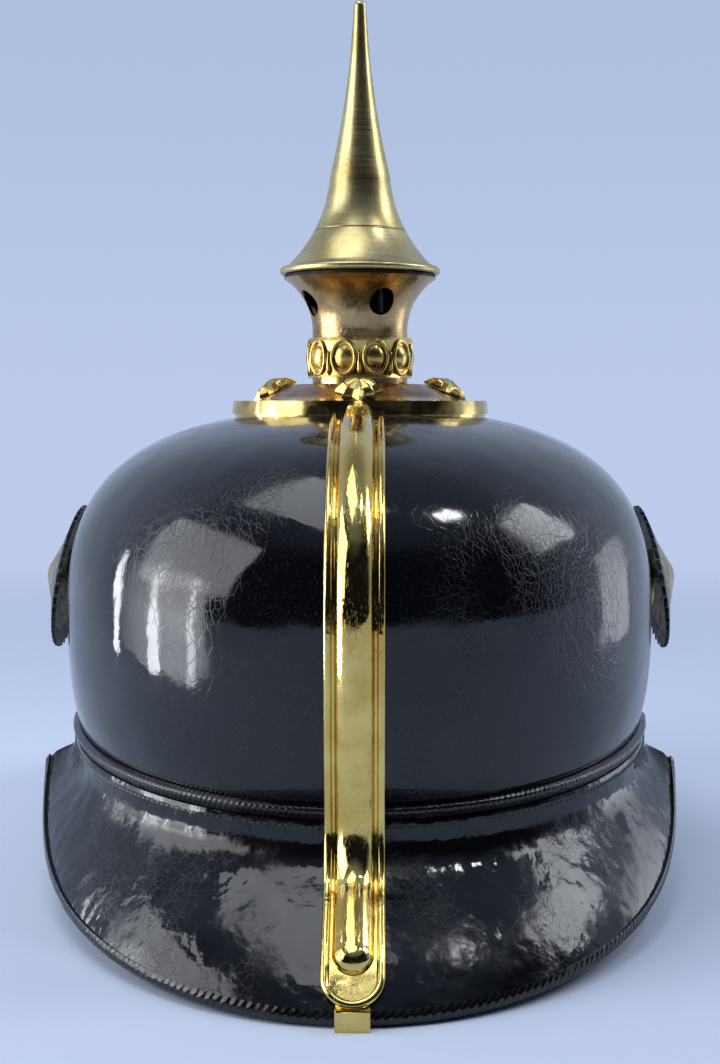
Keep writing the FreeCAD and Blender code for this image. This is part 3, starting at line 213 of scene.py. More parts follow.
def lacquered_cowhide(looks):
    """Cowhide pressed over a block and hand lacquered: a deep gloss that age has crazed.

    The cracks are as black as the rest and show where they break a bright reflection.
    """
    material, tree, shader, mm = start_material("Lacquered_cowhide", IOR=1.52)
    worn = remap(tree, grain(tree, mm, 40.0, 2.0), 0.40, 0.62)
    coarse = crazing(tree, stretched(tree, mm, (1.0, 1.0, 0.6)), 3.6, 0.10, 2.4)
    fine = crazing(tree, stretched(tree, mm, (1.0, 1.0, 0.7)), 1.5, 0.07, 1.0)
    cracks = combine(tree, "MAXIMUM", combine(tree, "MULTIPLY", coarse, worn),
                     combine(tree, "MULTIPLY", fine, remap(tree, worn, 0.3, 1.0, 0.0, 0.8)))
    scratches = combine(tree, "MAXIMUM", hairlines(tree, mm, (0, 30, 20), 0.16, 40.0, 0.77),
                        hairlines(tree, mm, (20, -50, 65), 0.16, 50.0, 0.77))
    dust = specks(tree, mm, 4.2, 0.26, 0.16)
    lined = blend(tree, combine(tree, "MULTIPLY", cracks, 0.5), looks.lacquer, linear("#171412"))
    lined = blend(tree, combine(tree, "MULTIPLY", scratches, 0.3), lined, linear("#5f656e"))
    tree.links.new(blend(tree, combine(tree, "MULTIPLY", dust, 0.7), lined, linear("#8b929c")),
                   shader.inputs["Base Color"])
    rough = remap(tree, grain(tree, mm, 24.0, 3.0), 0.35, 0.7, 0.035, 0.12)
    rough = combine(tree, "ADD", rough, combine(tree, "MULTIPLY", worn, 0.05))
    rough = combine(tree, "ADD", rough, combine(tree, "MULTIPLY", cracks, 0.16))
    rough = combine(tree, "MAXIMUM", rough, combine(tree, "MULTIPLY", dust, 0.8))
    tree.links.new(rough, shader.inputs["Roughness"])
    bumps(tree, shader, (grain(tree, mm, 21.0, 1.0), 0.42), (grain(tree, mm, 5.0, 2.0), 0.035),
          (grain(tree, mm, 1.1, 2.0), 0.006), (combine(tree, "MULTIPLY", cracks, -1.0), 0.022))
    return material


def patent_leather(looks):
    """Leather rolled and varnished thick: gloss over a soft pebble, creased and grimy."""
    material, tree, shader, mm = start_material("Patent_leather", IOR=1.5)
    creased = remap(tree, grain(tree, mm, 30.0, 2.0), 0.45, 0.65)
    pebble = grain(tree, mm, 1.5, 2.0, 0.6)
    cracks = combine(tree, "MULTIPLY", crazing(tree, mm, 2.4, 0.08, 1.8), creased)
    dust = specks(tree, mm, 4.4, 0.28, 0.16)
    lined = blend(tree, combine(tree, "MULTIPLY", cracks, 0.5), looks.lacquer,
                  linear("#26231f"))
    tree.links.new(blend(tree, combine(tree, "MULTIPLY", dust, 0.7), lined, linear("#858b95")),
                   shader.inputs["Base Color"])
    rough = remap(tree, grain(tree, mm, 15.0, 4.0, 0.6), 0.35, 0.7, 0.08, 0.24)
    rough = combine(tree, "ADD", rough, combine(tree, "MULTIPLY", cracks, 0.4))
    rough = combine(tree, "MAXIMUM", rough, combine(tree, "MULTIPLY", dust, 0.8))
    tree.links.new(rough, shader.inputs["Roughness"])
    bumps(tree, shader, (grain(tree, mm, 12.0, 2.0), 0.75), (grain(tree, mm, 4.0, 2.0), 0.16),
          (combine(tree, "MULTIPLY", pebble, creased), 0.06))
    return material


def welted_leather(looks):
    """Narrow strips turned over a cord and whipped down: a slanting twist, worn to a satin."""
    material, tree, shader, mm = start_material("Whipped_edge_leather", IOR=1.5)
    parts = add_node(tree, "ShaderNodeSeparateXYZ", {"Vector": mm})
    turn = combine(tree, "ARCTAN2", parts.outputs["X"], parts.outputs["Y"])
    slant = combine(tree, "ADD", combine(tree, "MULTIPLY", turn, 400.0),
                    combine(tree, "MULTIPLY", parts.outputs["Z"], 2.0))
    slant = combine(tree, "ADD", slant, combine(tree, "MULTIPLY", grain(tree, mm, 6.0), 3.0))
    twist = combine(tree, "SINE", slant, 0.0)
    worn = remap(tree, grain(tree, mm, 9.0, 3.0), 0.5, 0.72)
    dark = blend(tree, worn, looks.lacquer, linear("#1f1f20"))
    tree.links.new(blend(tree, remap(tree, twist, -1.0, -0.6, 0.5, 0.0), dark, linear("#2c2926")),
                   shader.inputs["Base Color"])
    tree.links.new(remap(tree, worn, 0.0, 1.0, 0.18, 0.40), shader.inputs["Roughness"])
    bumps(tree, shader, (grain(tree, mm, 3.2, 3.0, 0.6), 0.22), (twist, 0.045))
    return material


def strap_leather(looks):
    """Black dyed bridle leather: waxed, with a fine pore and soft wear on its high spots."""
    material, tree, shader, mm = start_material("Waxed_bridle_leather", IOR=1.48)
    pore = grain(tree, mm, 0.7, 3.0, 0.65)
    worn = remap(tree, grain(tree, mm, 11.0, 3.0), 0.5, 0.75)
    tree.links.new(blend(tree, worn, linear("#141313"), linear("#37302a")),
                   shader.inputs["Base Color"])
    tree.links.new(remap(tree, pore, 0.3, 0.7, 0.34, 0.55), shader.inputs["Roughness"])
    bumps(tree, shader, (pore, 0.06), (grain(tree, mm, 6.0, 2.0), 0.2))
    return material


def lining_leather(looks):
    """Thin vegetable tanned sheepskin: tan, darker where it was worn against the head."""
    material, tree, shader, mm = start_material("Tanned_sheepskin", IOR=1.45,
                                                Sheen_Weight=0.15)
    pore = grain(tree, mm, 0.9, 4.0, 0.65)
    stain = remap(tree, grain(tree, mm, 24.0, 4.0, 0.6), 0.4, 0.68)
    tan = blend(tree, stain, looks.lining, linear("#6f4a2b"))
    tree.links.new(blend(tree, remap(tree, pore, 0.55, 0.75), tan, linear("#5b3c24")),
                   shader.inputs["Base Color"])
    tree.links.new(remap(tree, stain, 0.0, 1.0, 0.62, 0.45), shader.inputs["Roughness"])
    bumps(tree, shader, (pore, 0.10), (grain(tree, mm, 8.0, 3.0), 0.35))
    return material


def brass(name, bright, dull, tarnish, rough, ripple_mm, spotted=0.5):
    """Rolled cartridge brass: colour drifts from bright to dull, with brown spots of tarnish."""
    material, tree, shader, mm = start_material(name, Metallic=1.0)
    drift = remap(tree, grain(tree, mm, 19.0, 4.0, 0.6), 0.38, 0.66)
    spots = remap(tree, grain(tree, mm, 3.1, 5.0, 0.7), 0.60, 0.74, 0.0, spotted)
    body = blend(tree, drift, linear(bright), linear(dull))
    tree.links.new(blend(tree, spots, body, linear(tarnish)), shader.inputs["Base Color"])
    lines = combine(tree, "MAXIMUM", hairlines(tree, mm, (0, 25, 10), 0.22, 16.0, 0.70),
                    hairlines(tree, mm, (70, 10, 50), 0.24, 12.0, 0.70))
    smear = remap(tree, grain(tree, mm, 7.0, 4.0), 0.35, 0.72, rough, rough + 0.13)
    finish = combine(tree, "ADD", smear, combine(tree, "MULTIPLY", spots, 0.22))
    finish = combine(tree, "ADD", finish, combine(tree, "MULTIPLY", lines, 0.12))
    tree.links.new(finish, shader.inputs["Roughness"])
    bumps(tree, shader, (grain(tree, mm, 9.0, 2.0), ripple_mm),
          (grain(tree, mm, 1.6, 3.0), ripple_mm * 0.12), (lines, -0.006))
    return material


def spun_brass(looks):
    """Brass spun on a lathe and brushed: fine rings round the axis and one turned line."""
    material, tree, shader, mm = start_material("Spun_brushed_brass", Metallic=1.0,
                                                Anisotropic=0.35)
    ring = stretched(tree, mm, (0.05, 0.05, 3.2))
    rings = add_node(tree, "ShaderNodeTexNoise", {"Vector": ring, "Scale": 1.0, "Detail": 3.0,
                                                  "Roughness": 0.7}).outputs["Fac"]
    brush = stretched(tree, mm, (1.9, 1.9, 0.10))
    brushed = add_node(tree, "ShaderNodeTexNoise", {"Vector": brush, "Scale": 1.0,
                                                    "Detail": 3.0}).outputs["Fac"]
    drift = remap(tree, grain(tree, mm, 15.0, 4.0, 0.6), 0.38, 0.68)
    body = blend(tree, drift, looks.spike_brass, linear("#b3a168"))
    body = blend(tree, remap(tree, brushed, 0.45, 0.75, 0.0, 0.45), body, linear("#8c7d50"))
    height = add_node(tree, "ShaderNodeSeparateXYZ", {"Vector": mm}).outputs["Z"]
    turned_at = SPIKE_LOW.z / MM + 13.2
    away = combine(tree, "ABSOLUTE", combine(tree, "SUBTRACT", height, turned_at), 0.0)
    line = remap(tree, away, 0.12, 0.42, 1.0, 0.0)
    tree.links.new(blend(tree, combine(tree, "MULTIPLY", line, 0.55), body, linear("#6b5628")),
                   shader.inputs["Base Color"])
    tree.links.new(remap(tree, rings, 0.3, 0.75, 0.26, 0.38), shader.inputs["Roughness"])
    bumps(tree, shader, (grain(tree, mm, 12.0, 2.0), 0.08), (rings, 0.0035), (brushed, 0.004),
          (line, -0.10))
    return material


def pressed_plate_brass(looks):
    """The base plate, pressed from sheet: a polished rim round a dome toned like copper."""
    material, tree, shader, mm = start_material("Pressed_plate_brass", Metallic=1.0)
    height = add_node(tree, "ShaderNodeSeparateXYZ", {"Vector": mm}).outputs["Z"]
    rim_top = PLATE_RIM_TOP / MM
    domed = remap(tree, combine(tree, "ADD", height, combine(
        tree, "MULTIPLY", grain(tree, mm, 6.0, 3.0), 1.0)), rim_top + 0.3, rim_top + 2.4)
    drift = remap(tree, grain(tree, mm, 14.0, 4.0, 0.6), 0.38, 0.66)
    rim = blend(tree, drift, linear("#d2b876"), linear("#a88d54"))
    dome = blend(tree, drift, linear("#a97f56"), linear("#7d5a40"))
    tree.links.new(blend(tree, domed, rim, dome), shader.inputs["Base Color"])
    smear = remap(tree, grain(tree, mm, 5.0, 4.0), 0.35, 0.72, 0.12, 0.26)
    tree.links.new(combine(tree, "ADD", smear, combine(tree, "MULTIPLY", domed, 0.12)),
                   shader.inputs["Roughness"])
    bumps(tree, shader, (grain(tree, mm, 10.0, 2.0), 0.12), (grain(tree, mm, 1.4, 3.0), 0.012))
    return material


def shade_painted_brass():
    """Brass inside the neck, left rough, its colour painted near black for the shade that falls
    inside the neck.
    """
    material, tree, shader, mm = start_material("Shade_painted_turned_brass", Metallic=0.35)
    shade_mottle = remap(tree, grain(tree, mm, 3.0, 4.0), 0.35, 0.65)
    # painted shade: two near black tones, mottled at random, stand for the shade inside the neck
    tree.links.new(blend(tree, shade_mottle, linear("#070605"), linear("#1b150e")),
                   shader.inputs["Base Color"])
    tree.links.new(remap(tree, shade_mottle, 0.0, 1.0, 0.75, 0.5), shader.inputs["Roughness"])
    bumps(tree, shader, (grain(tree, mm, 1.2, 3.0), 0.05))
    return material


def bright_steel():
    """Turned mild steel, left bright and lightly oxidised."""
    material, tree, shader, mm = start_material("Turned_mild_steel", Metallic=1.0)
    spots = remap(tree, grain(tree, mm, 2.2, 4.0, 0.7), 0.55, 0.75)
    tree.links.new(blend(tree, spots, linear("#a9abad"), linear("#5d5148")),
                   shader.inputs["Base Color"])
    tree.links.new(remap(tree, spots, 0.0, 1.0, 0.28, 0.6), shader.inputs["Roughness"])
    bumps(tree, shader, (grain(tree, mm, 0.6, 3.0), 0.02))
    return material


def enamelled_cockade(name):
    """Stamped brass: black enamel on the toothed border, bare metal rubbed on the cone."""
    material, tree, shader, mm = start_material(f"Enamelled_stamping_{name}", IOR=1.5)
    low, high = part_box(f"cockade_{name}")
    middle = (low + high) / 2 / MM
    centred = add_node(tree, "ShaderNodeMapping", {
        "Vector": mm, "Location": (0.0, -middle.y, -middle.z)}).outputs["Vector"]
    flat = add_node(tree, "ShaderNodeVectorMath", {0: centred, 1: (0.0, 1.0, 1.0)},
                    operation="MULTIPLY").outputs[0]
    reach = add_node(tree, "ShaderNodeVectorMath", {0: flat}, operation="LENGTH").outputs["Value"]
    wander = combine(tree, "MULTIPLY", grain(tree, mm, 2.0, 4.0), 1.6)
    bare = remap(tree, combine(tree, "ADD", reach, wander), 17.4, 18.3, 1.0, 0.0)
    chips = remap(tree, grain(tree, mm, 1.1, 5.0, 0.75), 0.63, 0.68)
    bare = combine(tree, "MAXIMUM", bare, chips)
    patina = blend(tree, remap(tree, grain(tree, mm, 2.6, 4.0, 0.7), 0.4, 0.65),
                   linear("#a59a7c"), linear("#5c5443"))
    tree.links.new(blend(tree, bare, linear("#0c0c0d"), patina), shader.inputs["Base Color"])
    tree.links.new(bare, shader.inputs["Metallic"])
    tree.links.new(remap(tree, grain(tree, mm, 3.0, 4.0), 0.3, 0.7, 0.28, 0.48),
                   shader.inputs["Roughness"])
    angle = add_node(tree, "ShaderNodeSeparateXYZ", {"Vector": flat})
    turn = combine(tree, "ARCTAN2", angle.outputs["Y"], angle.outputs["Z"])
    ribs = combine(tree, "SINE", combine(tree, "MULTIPLY", turn, 80.0), 0.0)
    bumps(tree, shader, (ribs, 0.10), (grain(tree, mm, 0.8, 4.0), 0.05))
    return material


def waxed_thread(name, pale, dark):
    """Linen thread drawn through black wax; rubbed pale where the wax has gone."""
    material, tree, shader, mm = start_material(name, Sheen_Weight=0.2)
    twist = stretched(tree, mm, (5.0, 5.0, 5.0), (35, 20, 45))
    strands = add_node(tree, "ShaderNodeTexWave", {"Vector": twist, "Scale": 0.5,
                                                   "Distortion": 1.0}).outputs["Fac"]
    tree.links.new(blend(tree, strands, linear(dark), linear(pale)), shader.inputs["Base Color"])
    tree.links.new(remap(tree, strands, 0.0, 1.0, 0.5, 0.8), shader.inputs["Roughness"])
    bumps(tree, shader, (strands, 0.06))
    return material


# ---------------------------------------------------------------- shapes

def dress(names, material, sharp_degrees=32.0):
    """Give frame nodes one material and smooth shading, broken only at their true edges."""
    for name in names:
        node = NODES[name]
        node.data.materials.clear()
        node.data.materials.append(material)
        node.data.polygons.foreach_set("use_smooth", [True] * len(node.data.polygons))
        node.modifiers.new("Merge", "WELD").merge_threshold = WELD
        split = node.modifiers.new("TrueEdges", "EDGE_SPLIT")
        split.split_angle = math.radians(sharp_degrees)


def new_piece(name, shape, material, body):
    """A finished mesh in the scene that rides on a body of the frame."""
    bmesh.ops.recalc_face_normals(shape, faces=shape.faces)
    mesh = bpy.data.meshes.new(name)
    shape.to_mesh(mesh)
    shape.free()
    mesh.polygons.foreach_set("use_smooth", [True] * len(mesh.polygons))
    piece = bpy.data.objects.new(name, mesh)
    bpy.context.scene.collection.objects.link(piece)
    mesh.materials.append(material)
    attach(piece, body)
    return piece


def placed(origin, along, out):
    """A matrix that puts X along a run and Z out of the surface at a point."""
    z_axis = out.normalized()
    x_axis = (along - z_axis * along.dot(z_axis)).normalized()
    y_axis = z_axis.cross(x_axis)
    return Matrix.Translation(origin) @ Matrix((x_axis, y_axis, z_axis)).transposed().to_4x4()


def add_copies(target, template, matrices):
    """Copy a small shape into another once for each matrix, and free it."""
    mesh = bpy.data.meshes.new("template")
    template.to_mesh(mesh)
    template.free()
    for matrix in matrices:
        before = len(target.verts)
        target.from_mesh(mesh)
        target.verts.ensure_lookup_table()
        bmesh.ops.transform(target, matrix=matrix, verts=target.verts[before:])
    bpy.data.meshes.remove(mesh)


def surface_of(name):
    """A tree for finding points on a frame node's surface."""
    return BVHTree.FromPolygons([v.co for v in NODES[name].data.vertices],
                                [p.vertices for p in NODES[name].data.polygons])


def walk(surface, turns, height_at, reach=0.30):
    """Points and normals where level rays towards the axis meet a surface."""
    found = []
    for turn in turns:
        side = Vector((-math.sin(math.radians(turn)), math.cos(math.radians(turn)), 0.0))
        height = height_at(side)
        hit, normal, _, _ = surface.ray_cast(side * reach + Vector((0, 0, height)), -side)
        if hit is not None:
            if normal.dot(side) < 0:
                normal = -normal
            found.append((hit, normal))
    return found


def evenly_along(places, pitch):
    """(point, direction, normal) at equal steps along a run of (point, normal)."""
    rows, carried = [], 0.0
    for (start, normal), (end, _) in zip(places, places[1:]):
        length = (end - start).length
        while carried < length:
            rows.append((start.lerp(end, carried / length), end - start, normal))
            carried += pitch
        carried -= length
    return rows


def stitch_shape(length, thickness):
    """One stitch: a soft grain of thread that dives into the leather at both ends."""
    shape = bmesh.new()
    bmesh.ops.create_uvsphere(shape, u_segments=6, v_segments=5, radius=0.5,
                              matrix=Matrix.Rotation(math.radians(90), 4, "Y"))
    bmesh.ops.scale(shape, vec=(length, thickness, thickness), verts=shape.verts)
    return shape


def softened(piece_name, node_name, material, body, voxel_mm, wave_mm,
             wave_size_mm):
    """A soft leather piece in a frame solid's space: rounded at its edges and gently waved."""
    node = NODES[node_name]
    shape = bmesh.new()
    shape.from_mesh(node.data)
    bmesh.ops.remove_doubles(shape, verts=shape.verts, dist=WELD)
    piece = new_piece(piece_name, shape, material, body)
    evened = piece.modifiers.new("Even", "REMESH")
    evened.mode = "VOXEL"
    evened.voxel_size = voxel_mm * MM
    evened.use_smooth_shade = True
    rounded = piece.modifiers.new("Rounded", "SMOOTH")
    rounded.factor, rounded.iterations = 0.5, 3
    baked = bpy.data.meshes.new_from_object(
        piece.evaluated_get(bpy.context.evaluated_depsgraph_get()))
    piece.modifiers.clear()
    piece.data = baked
    waves = bmesh.new()
    waves.from_mesh(baked)
    for vertex in waves.verts:
        height = noise.noise(vertex.co / (wave_size_mm * MM))
        vertex.co += vertex.normal * height * wave_mm * MM
    waves.to_mesh(baked)
    waves.free()
    baked.polygons.foreach_set("use_smooth", [True] * len(baked.polygons))
    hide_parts(node_name)
    return piece


# ---------------------------------------------------------------- settings

class HelmetSizes(bpy.types.PropertyGroup):
    """Sizes of what is added to the frame."""
    stitch_pitch: bpy.props.FloatProperty(
        name="Stitch pitch", description="Distance from one stitch to the next",
        default=1.9 * MM, unit="LENGTH")
    edge_pitch: bpy.props.FloatProperty(
        name="Edge pitch", description="Distance between the stitches over the edge binding",
        default=1.25 * MM, unit="LENGTH")
    thread: bpy.props.FloatProperty(
        name="Thread", description="Thickness of the sewing thread", default=0.62 * MM,
        unit="LENGTH")
    seam_height: bpy.props.FloatProperty(
        name="Seam height", description="Height of the visor seam at the sides",
        default=47.0 * MM, unit="LENGTH")
    seam_tilt: bpy.props.FloatProperty(
        name="Seam tilt", description="Fall of the seam towards the back",
        default=math.radians(3.0), subtype="ANGLE")
    seam_band: bpy.props.FloatProperty(
        name="Seam band", description="Height of the rolled band on the seam",
        default=4.0 * MM, unit="LENGTH")
    pearls: bpy.props.IntProperty(
        name="Pearls", description="Pearls round the ring", default=10, min=3)
    pearl_rim: bpy.props.FloatProperty(
        name="Pearl rim", description="Thickness of the oval rim round a pearl",
        default=1.15 * MM, unit="LENGTH")


class HelmetLooks(bpy.types.PropertyGroup):
    """Colours that a user would change."""
    lacquer: bpy.props.FloatVectorProperty(
        name="Lacquer", description="Colour of the black lacquer", subtype="COLOR", size=4,
        default=linear("#0a0b0e"), min=0.0, max=1.0)
    spike_brass: bpy.props.FloatVectorProperty(
        name="Spike brass", description="Colour of the brushed spike", subtype="COLOR", size=4,
        default=linear("#cdbf8c"), min=0.0, max=1.0)
    lining: bpy.props.FloatVectorProperty(
        name="Lining", description="Colour of the lining leather", subtype="COLOR", size=4,
        default=linear("#a8794c"), min=0.0, max=1.0)
    cloth: bpy.props.FloatVectorProperty(
        name="Floor", description="Colour of the plain floor", subtype="COLOR", size=4,
        default=linear("#d3def2"), min=0.0, max=1.0)
    backdrop: bpy.props.FloatVectorProperty(
        name="Backdrop", description="Colour of the pale cloth that the metal reflects",
        subtype="COLOR", size=4,
        default=linear("#b6c5e2"), min=0.0, max=1.0)


# ---------------------------------------------------------------- operators

class HELMET_OT_leather(bpy.types.Operator):
    """Finish the leather skull, both visors and their sewn edges"""
    bl_idname = "helmet.leather"
    bl_label = "Leather shell"

    def execute(self, context):
        looks = context.scene.helmet_looks
        dress(["skull"], lacquered_cowhide(looks), 40.0)
        dress(["rear_visor", "front_visor"], patent_leather(looks), 40.0)
        dress(["rear_seam_band", "front_seam_band", "rear_visor_binding"],
              welted_leather(looks), 50.0)
        return {"FINISHED"}


class HELMET_OT_brass(bpy.types.Operator):
    """Finish the brass fittings: spine, plate, neck, spike, ring and trim"""
    bl_idname = "helmet.brass"
    bl_label = "Brass fittings"

    def execute(self, context):
        looks = context.scene.helmet_looks
        dress(["spike"], spun_brass(looks), 50.0)
        dress(["base_plate"], pressed_plate_brass(looks))
        dress(["spike_neck"],
              brass("Toned_sheet_brass", "#bb9f70", "#957752", "#5a4530", 0.20, 0.26, 0.6), 50.0)
        # painted shade: the bush and screw inside the neck get near black brass for the shade
        # there
        dress(["neck_bush", "spike_screw"], shade_painted_brass())
        dress(["rear_spine", "spine_hook"],
              brass("Buffed_sheet_brass", "#e4cb7c", "#cfae5c", "#8d7036", 0.05, 0.16, 0.35))
        dress(["pearl_ring", "star_studs"],
              brass("Gilt_casting", "#dcc377", "#bd9b50", "#6c532b", 0.20, 0.18, 0.6))
        dress(["front_visor_trim"],
              brass("Drawn_trim_brass", "#dcc680", "#c5a65d", "#7a6034", 0.12, 0.10, 0.5))
        dress(["stud_nuts", "side_post_left", "side_post_right"], bright_steel())
        return {"FINISHED"}


class HELMET_OT_cockades(bpy.types.Operator):
    """Finish the toothed cockades, their centres and nuts"""
    bl_idname = "helmet.cockades"
    bl_label = "Cockades"

    def execute(self, context):
        for name, _ in SIDES:
            dress([f"cockade_{name}"], enamelled_cockade(name))
        dress(["cockade_centre_left", "cockade_centre_right", "post_nut_left", "post_nut_right"],
              brass("Stamped_brass", "#a9976c", "#7f6c49", "#4b3b28", 0.26, 0.12, 0.7))
        return {"FINISHED"}


class HELMET_OT_chin_strap(bpy.types.Operator):
    """Finish the scaled chin strap"""
    bl_idname = "helmet.chin_strap"
    bl_label = "Chin strap"

    def execute(self, context):
        looks = context.scene.helmet_looks
        bridle = strap_leather(looks)
        for name in ("left", "right"):
            softened(f"strap_hide_{name}", f"strap_leather_{name}", bridle, "chin_strap",
                     0.7, 0.12, 9.0)
        dress(["strap_scales_left", "strap_scales_right", "strap_end_left", "strap_end_right",
               "strap_buckle"],
              brass("Pressed_scale_brass", "#d9c178", "#b7984f", "#66502c", 0.14, 0.10, 0.6))
        return {"FINISHED"}


class HELMET_OT_lining(bpy.types.Operator):
    """Finish the sweatband and the tongues of the lining"""
    bl_idname = "helmet.lining"
    bl_label = "Lining"

    def execute(self, context):
        looks = context.scene.helmet_looks
        sheepskin = lining_leather(looks)
        softened("sweatband_hide", "sweatband", sheepskin, "helmet",
                 1.0, 0.30, 14.0)
        softened("lining_tongues", "liner_tongues", sheepskin, "helmet",
                 1.0, 0.45, 11.0)
        return {"FINISHED"}


class HELMET_OT_small_metal(bpy.types.Operator):
    """Set an eye in each tongue of the lining and rivets in the strap's two ends"""
    bl_idname = "helmet.small_metal"
    bl_label = "Eyes and rivets"

    def execute(self, context):
        metal = brass("Stamped_small_brass", "#cdb274", "#a08650", "#5a4628", 0.25, 0.05, 0.6)
        self.set_eyes(metal)
        for name, side in SIDES:
            self.set_rivets(name, side, metal)
        return {"FINISHED"}

    def set_eyes(self, metal):
        """A rolled eye near the tip of each tongue, on its inner face."""
        tongues = surface_of("liner_tongues")
        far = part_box("liner_tongues")[1]
        height = far.z - EYE_BELOW_TOP
        eye = bmesh.new()
        bmesh.ops.create_circle(eye, segments=8, radius=EYE_ROLL, matrix=Matrix.Translation(
            (EYE_RADIUS, 0, 0)) @ Matrix.Rotation(math.radians(90), 4, "X"))
        bmesh.ops.spin(eye, geom=eye.verts[:] + eye.edges[:], cent=(0, 0, 0), axis=(0, 0, 1),
                       angle=2 * math.pi, steps=20, use_merge=True)
        matrices = []
        for number in range(TONGUES):
            turn = math.radians(FIRST_TONGUE + 360.0 * number / TONGUES)
            side = Vector((-math.sin(turn) * far.x, math.cos(turn) * far.y, 0.0)).normalized()
            hit, normal, _, _ = tongues.ray_cast(Vector((0, 0, height)), side)
            if hit is None:
                raise RuntimeError("a tongue of the lining was not found")
            inward = normal if normal.dot(side) < 0 else -normal
            matrices.append(placed(hit, Vector((0, 0, 1)), inward))
        shape = bmesh.new()
        add_copies(shape, eye, matrices)
        new_piece("tongue_eyes", shape, metal, "helmet")

    def set_rivets(self, name, side, metal):
        """Two domed rivets in the leather between the post and the first scale."""
        leather = surface_of(f"strap_leather_{name}")
        matrices = []
        for ahead, height in RIVETS:
            outside = Vector((side * 0.14, -ahead, height))
            hit, normal, _, _ = leather.ray_cast(outside, Vector((-side, 0, 0)))
            if hit is None:
                raise RuntimeError("the strap's leather was not found")
            outward = normal if normal.x * side > 0 else -normal
            matrices.append(placed(hit - outward * 0.1 * MM, Vector((0, 0, 1)), outward))
        rivet = bmesh.new()
        bmesh.ops.create_uvsphere(rivet, u_segments=16, v_segments=10, radius=RIVET_RADIUS)
        bmesh.ops.bisect_plane(rivet, geom=rivet.verts[:] + rivet.edges[:] + rivet.faces[:],
                               plane_co=(0, 0, 0), plane_no=(0, 0, 1), clear_inner=True)
        bmesh.ops.contextual_create(rivet, geom=[e for e in rivet.edges if e.is_boundary])
        bmesh.ops.scale(rivet, vec=(1, 1, RIVET_DOME), verts=rivet.verts)
        shape = bmesh.new()
        add_copies(shape, rivet, matrices)
        new_piece(f"strap_rivets_{name}", shape, metal, "chin_strap")


class HELMET_OT_stitching(bpy.types.Operator):
    """Sew the visors to the skull and the binding to its visor"""
    bl_idname = "helmet.stitching"
    bl_label = "Stitching"

    def execute(self, context):
        sizes = context.scene.helmet_sizes
        fall = math.tan(sizes.seam_tilt)
        thread = waxed_thread("Waxed_linen_thread", "#3a3834", "#141414")
        rubbed = waxed_thread("Rubbed_linen_thread", "#a49a8c", "#4a443d")
        below_seam = sizes.seam_band + 1.1 * MM

        def height_at(side):
            return sizes.seam_height - fall * side.y * SEAM_HALF_LENGTH - below_seam

        for name, facing, span in SEAMS:
            surface = surface_of(f"{name}_visor")
            turns = [facing - span + 2 * span * step / 180 for step in range(181)]
            run = evenly_along(walk(surface, turns, height_at), sizes.stitch_pitch)
            dark, pale = [], []
            for place, along, out in run:
                matrix = placed(place + out.normalized() * 0.05 * MM, along, out)
                worn = name == "rear" and RUBBED_FROM < place.x < RUBBED_TO
                (pale if worn else dark).append(matrix)
            for label, matrices, finish in (("", dark, thread), ("_rubbed", pale, rubbed)):
                if matrices:
                    shape = bmesh.new()
                    stitch = stitch_shape(sizes.stitch_pitch * 0.82, sizes.thread)
                    add_copies(shape, stitch, matrices)
                    new_piece(f"{name}_seam_stitches{label}", shape, finish, "helmet")
        self.whip_the_edge(sizes, thread)
        return {"FINISHED"}

    def whip_the_edge(self, sizes, thread):
        """Small slanting stitches over the rolled binding of the rear visor."""
        rows = {}
        for vertex in NODES["rear_visor_binding"].data.vertices:
            turn = round(math.degrees(math.atan2(-vertex.co.x, vertex.co.y)))
            reach = vertex.co.xy.length
            if turn not in rows or reach > rows[turn].xy.length:
                rows[turn] = vertex.co.copy()
        places = [rows[turn] for turn in sorted(rows)]
        evened = [(before + here + after) / 3 for before, here, after
                  in zip(places, places[1:], places[2:])]
        upwards = 45.0 * MM                         # tips the stitches to the roll's upper side
        run = evenly_along([(place, Vector((place.x, place.y, upwards))) for place in evened],
                           sizes.edge_pitch)
        matrices = [placed(place - out.normalized() * 0.12 * MM, along, out)
                    @ Matrix.Rotation(math.radians(62.0), 4, "Z") for place, along, out in run]
        shape = bmesh.new()
        add_copies(shape, stitch_shape(1.3 * MM, 0.32 * MM), matrices)
        new_piece("edge_stitches", shape, thread, "helmet")


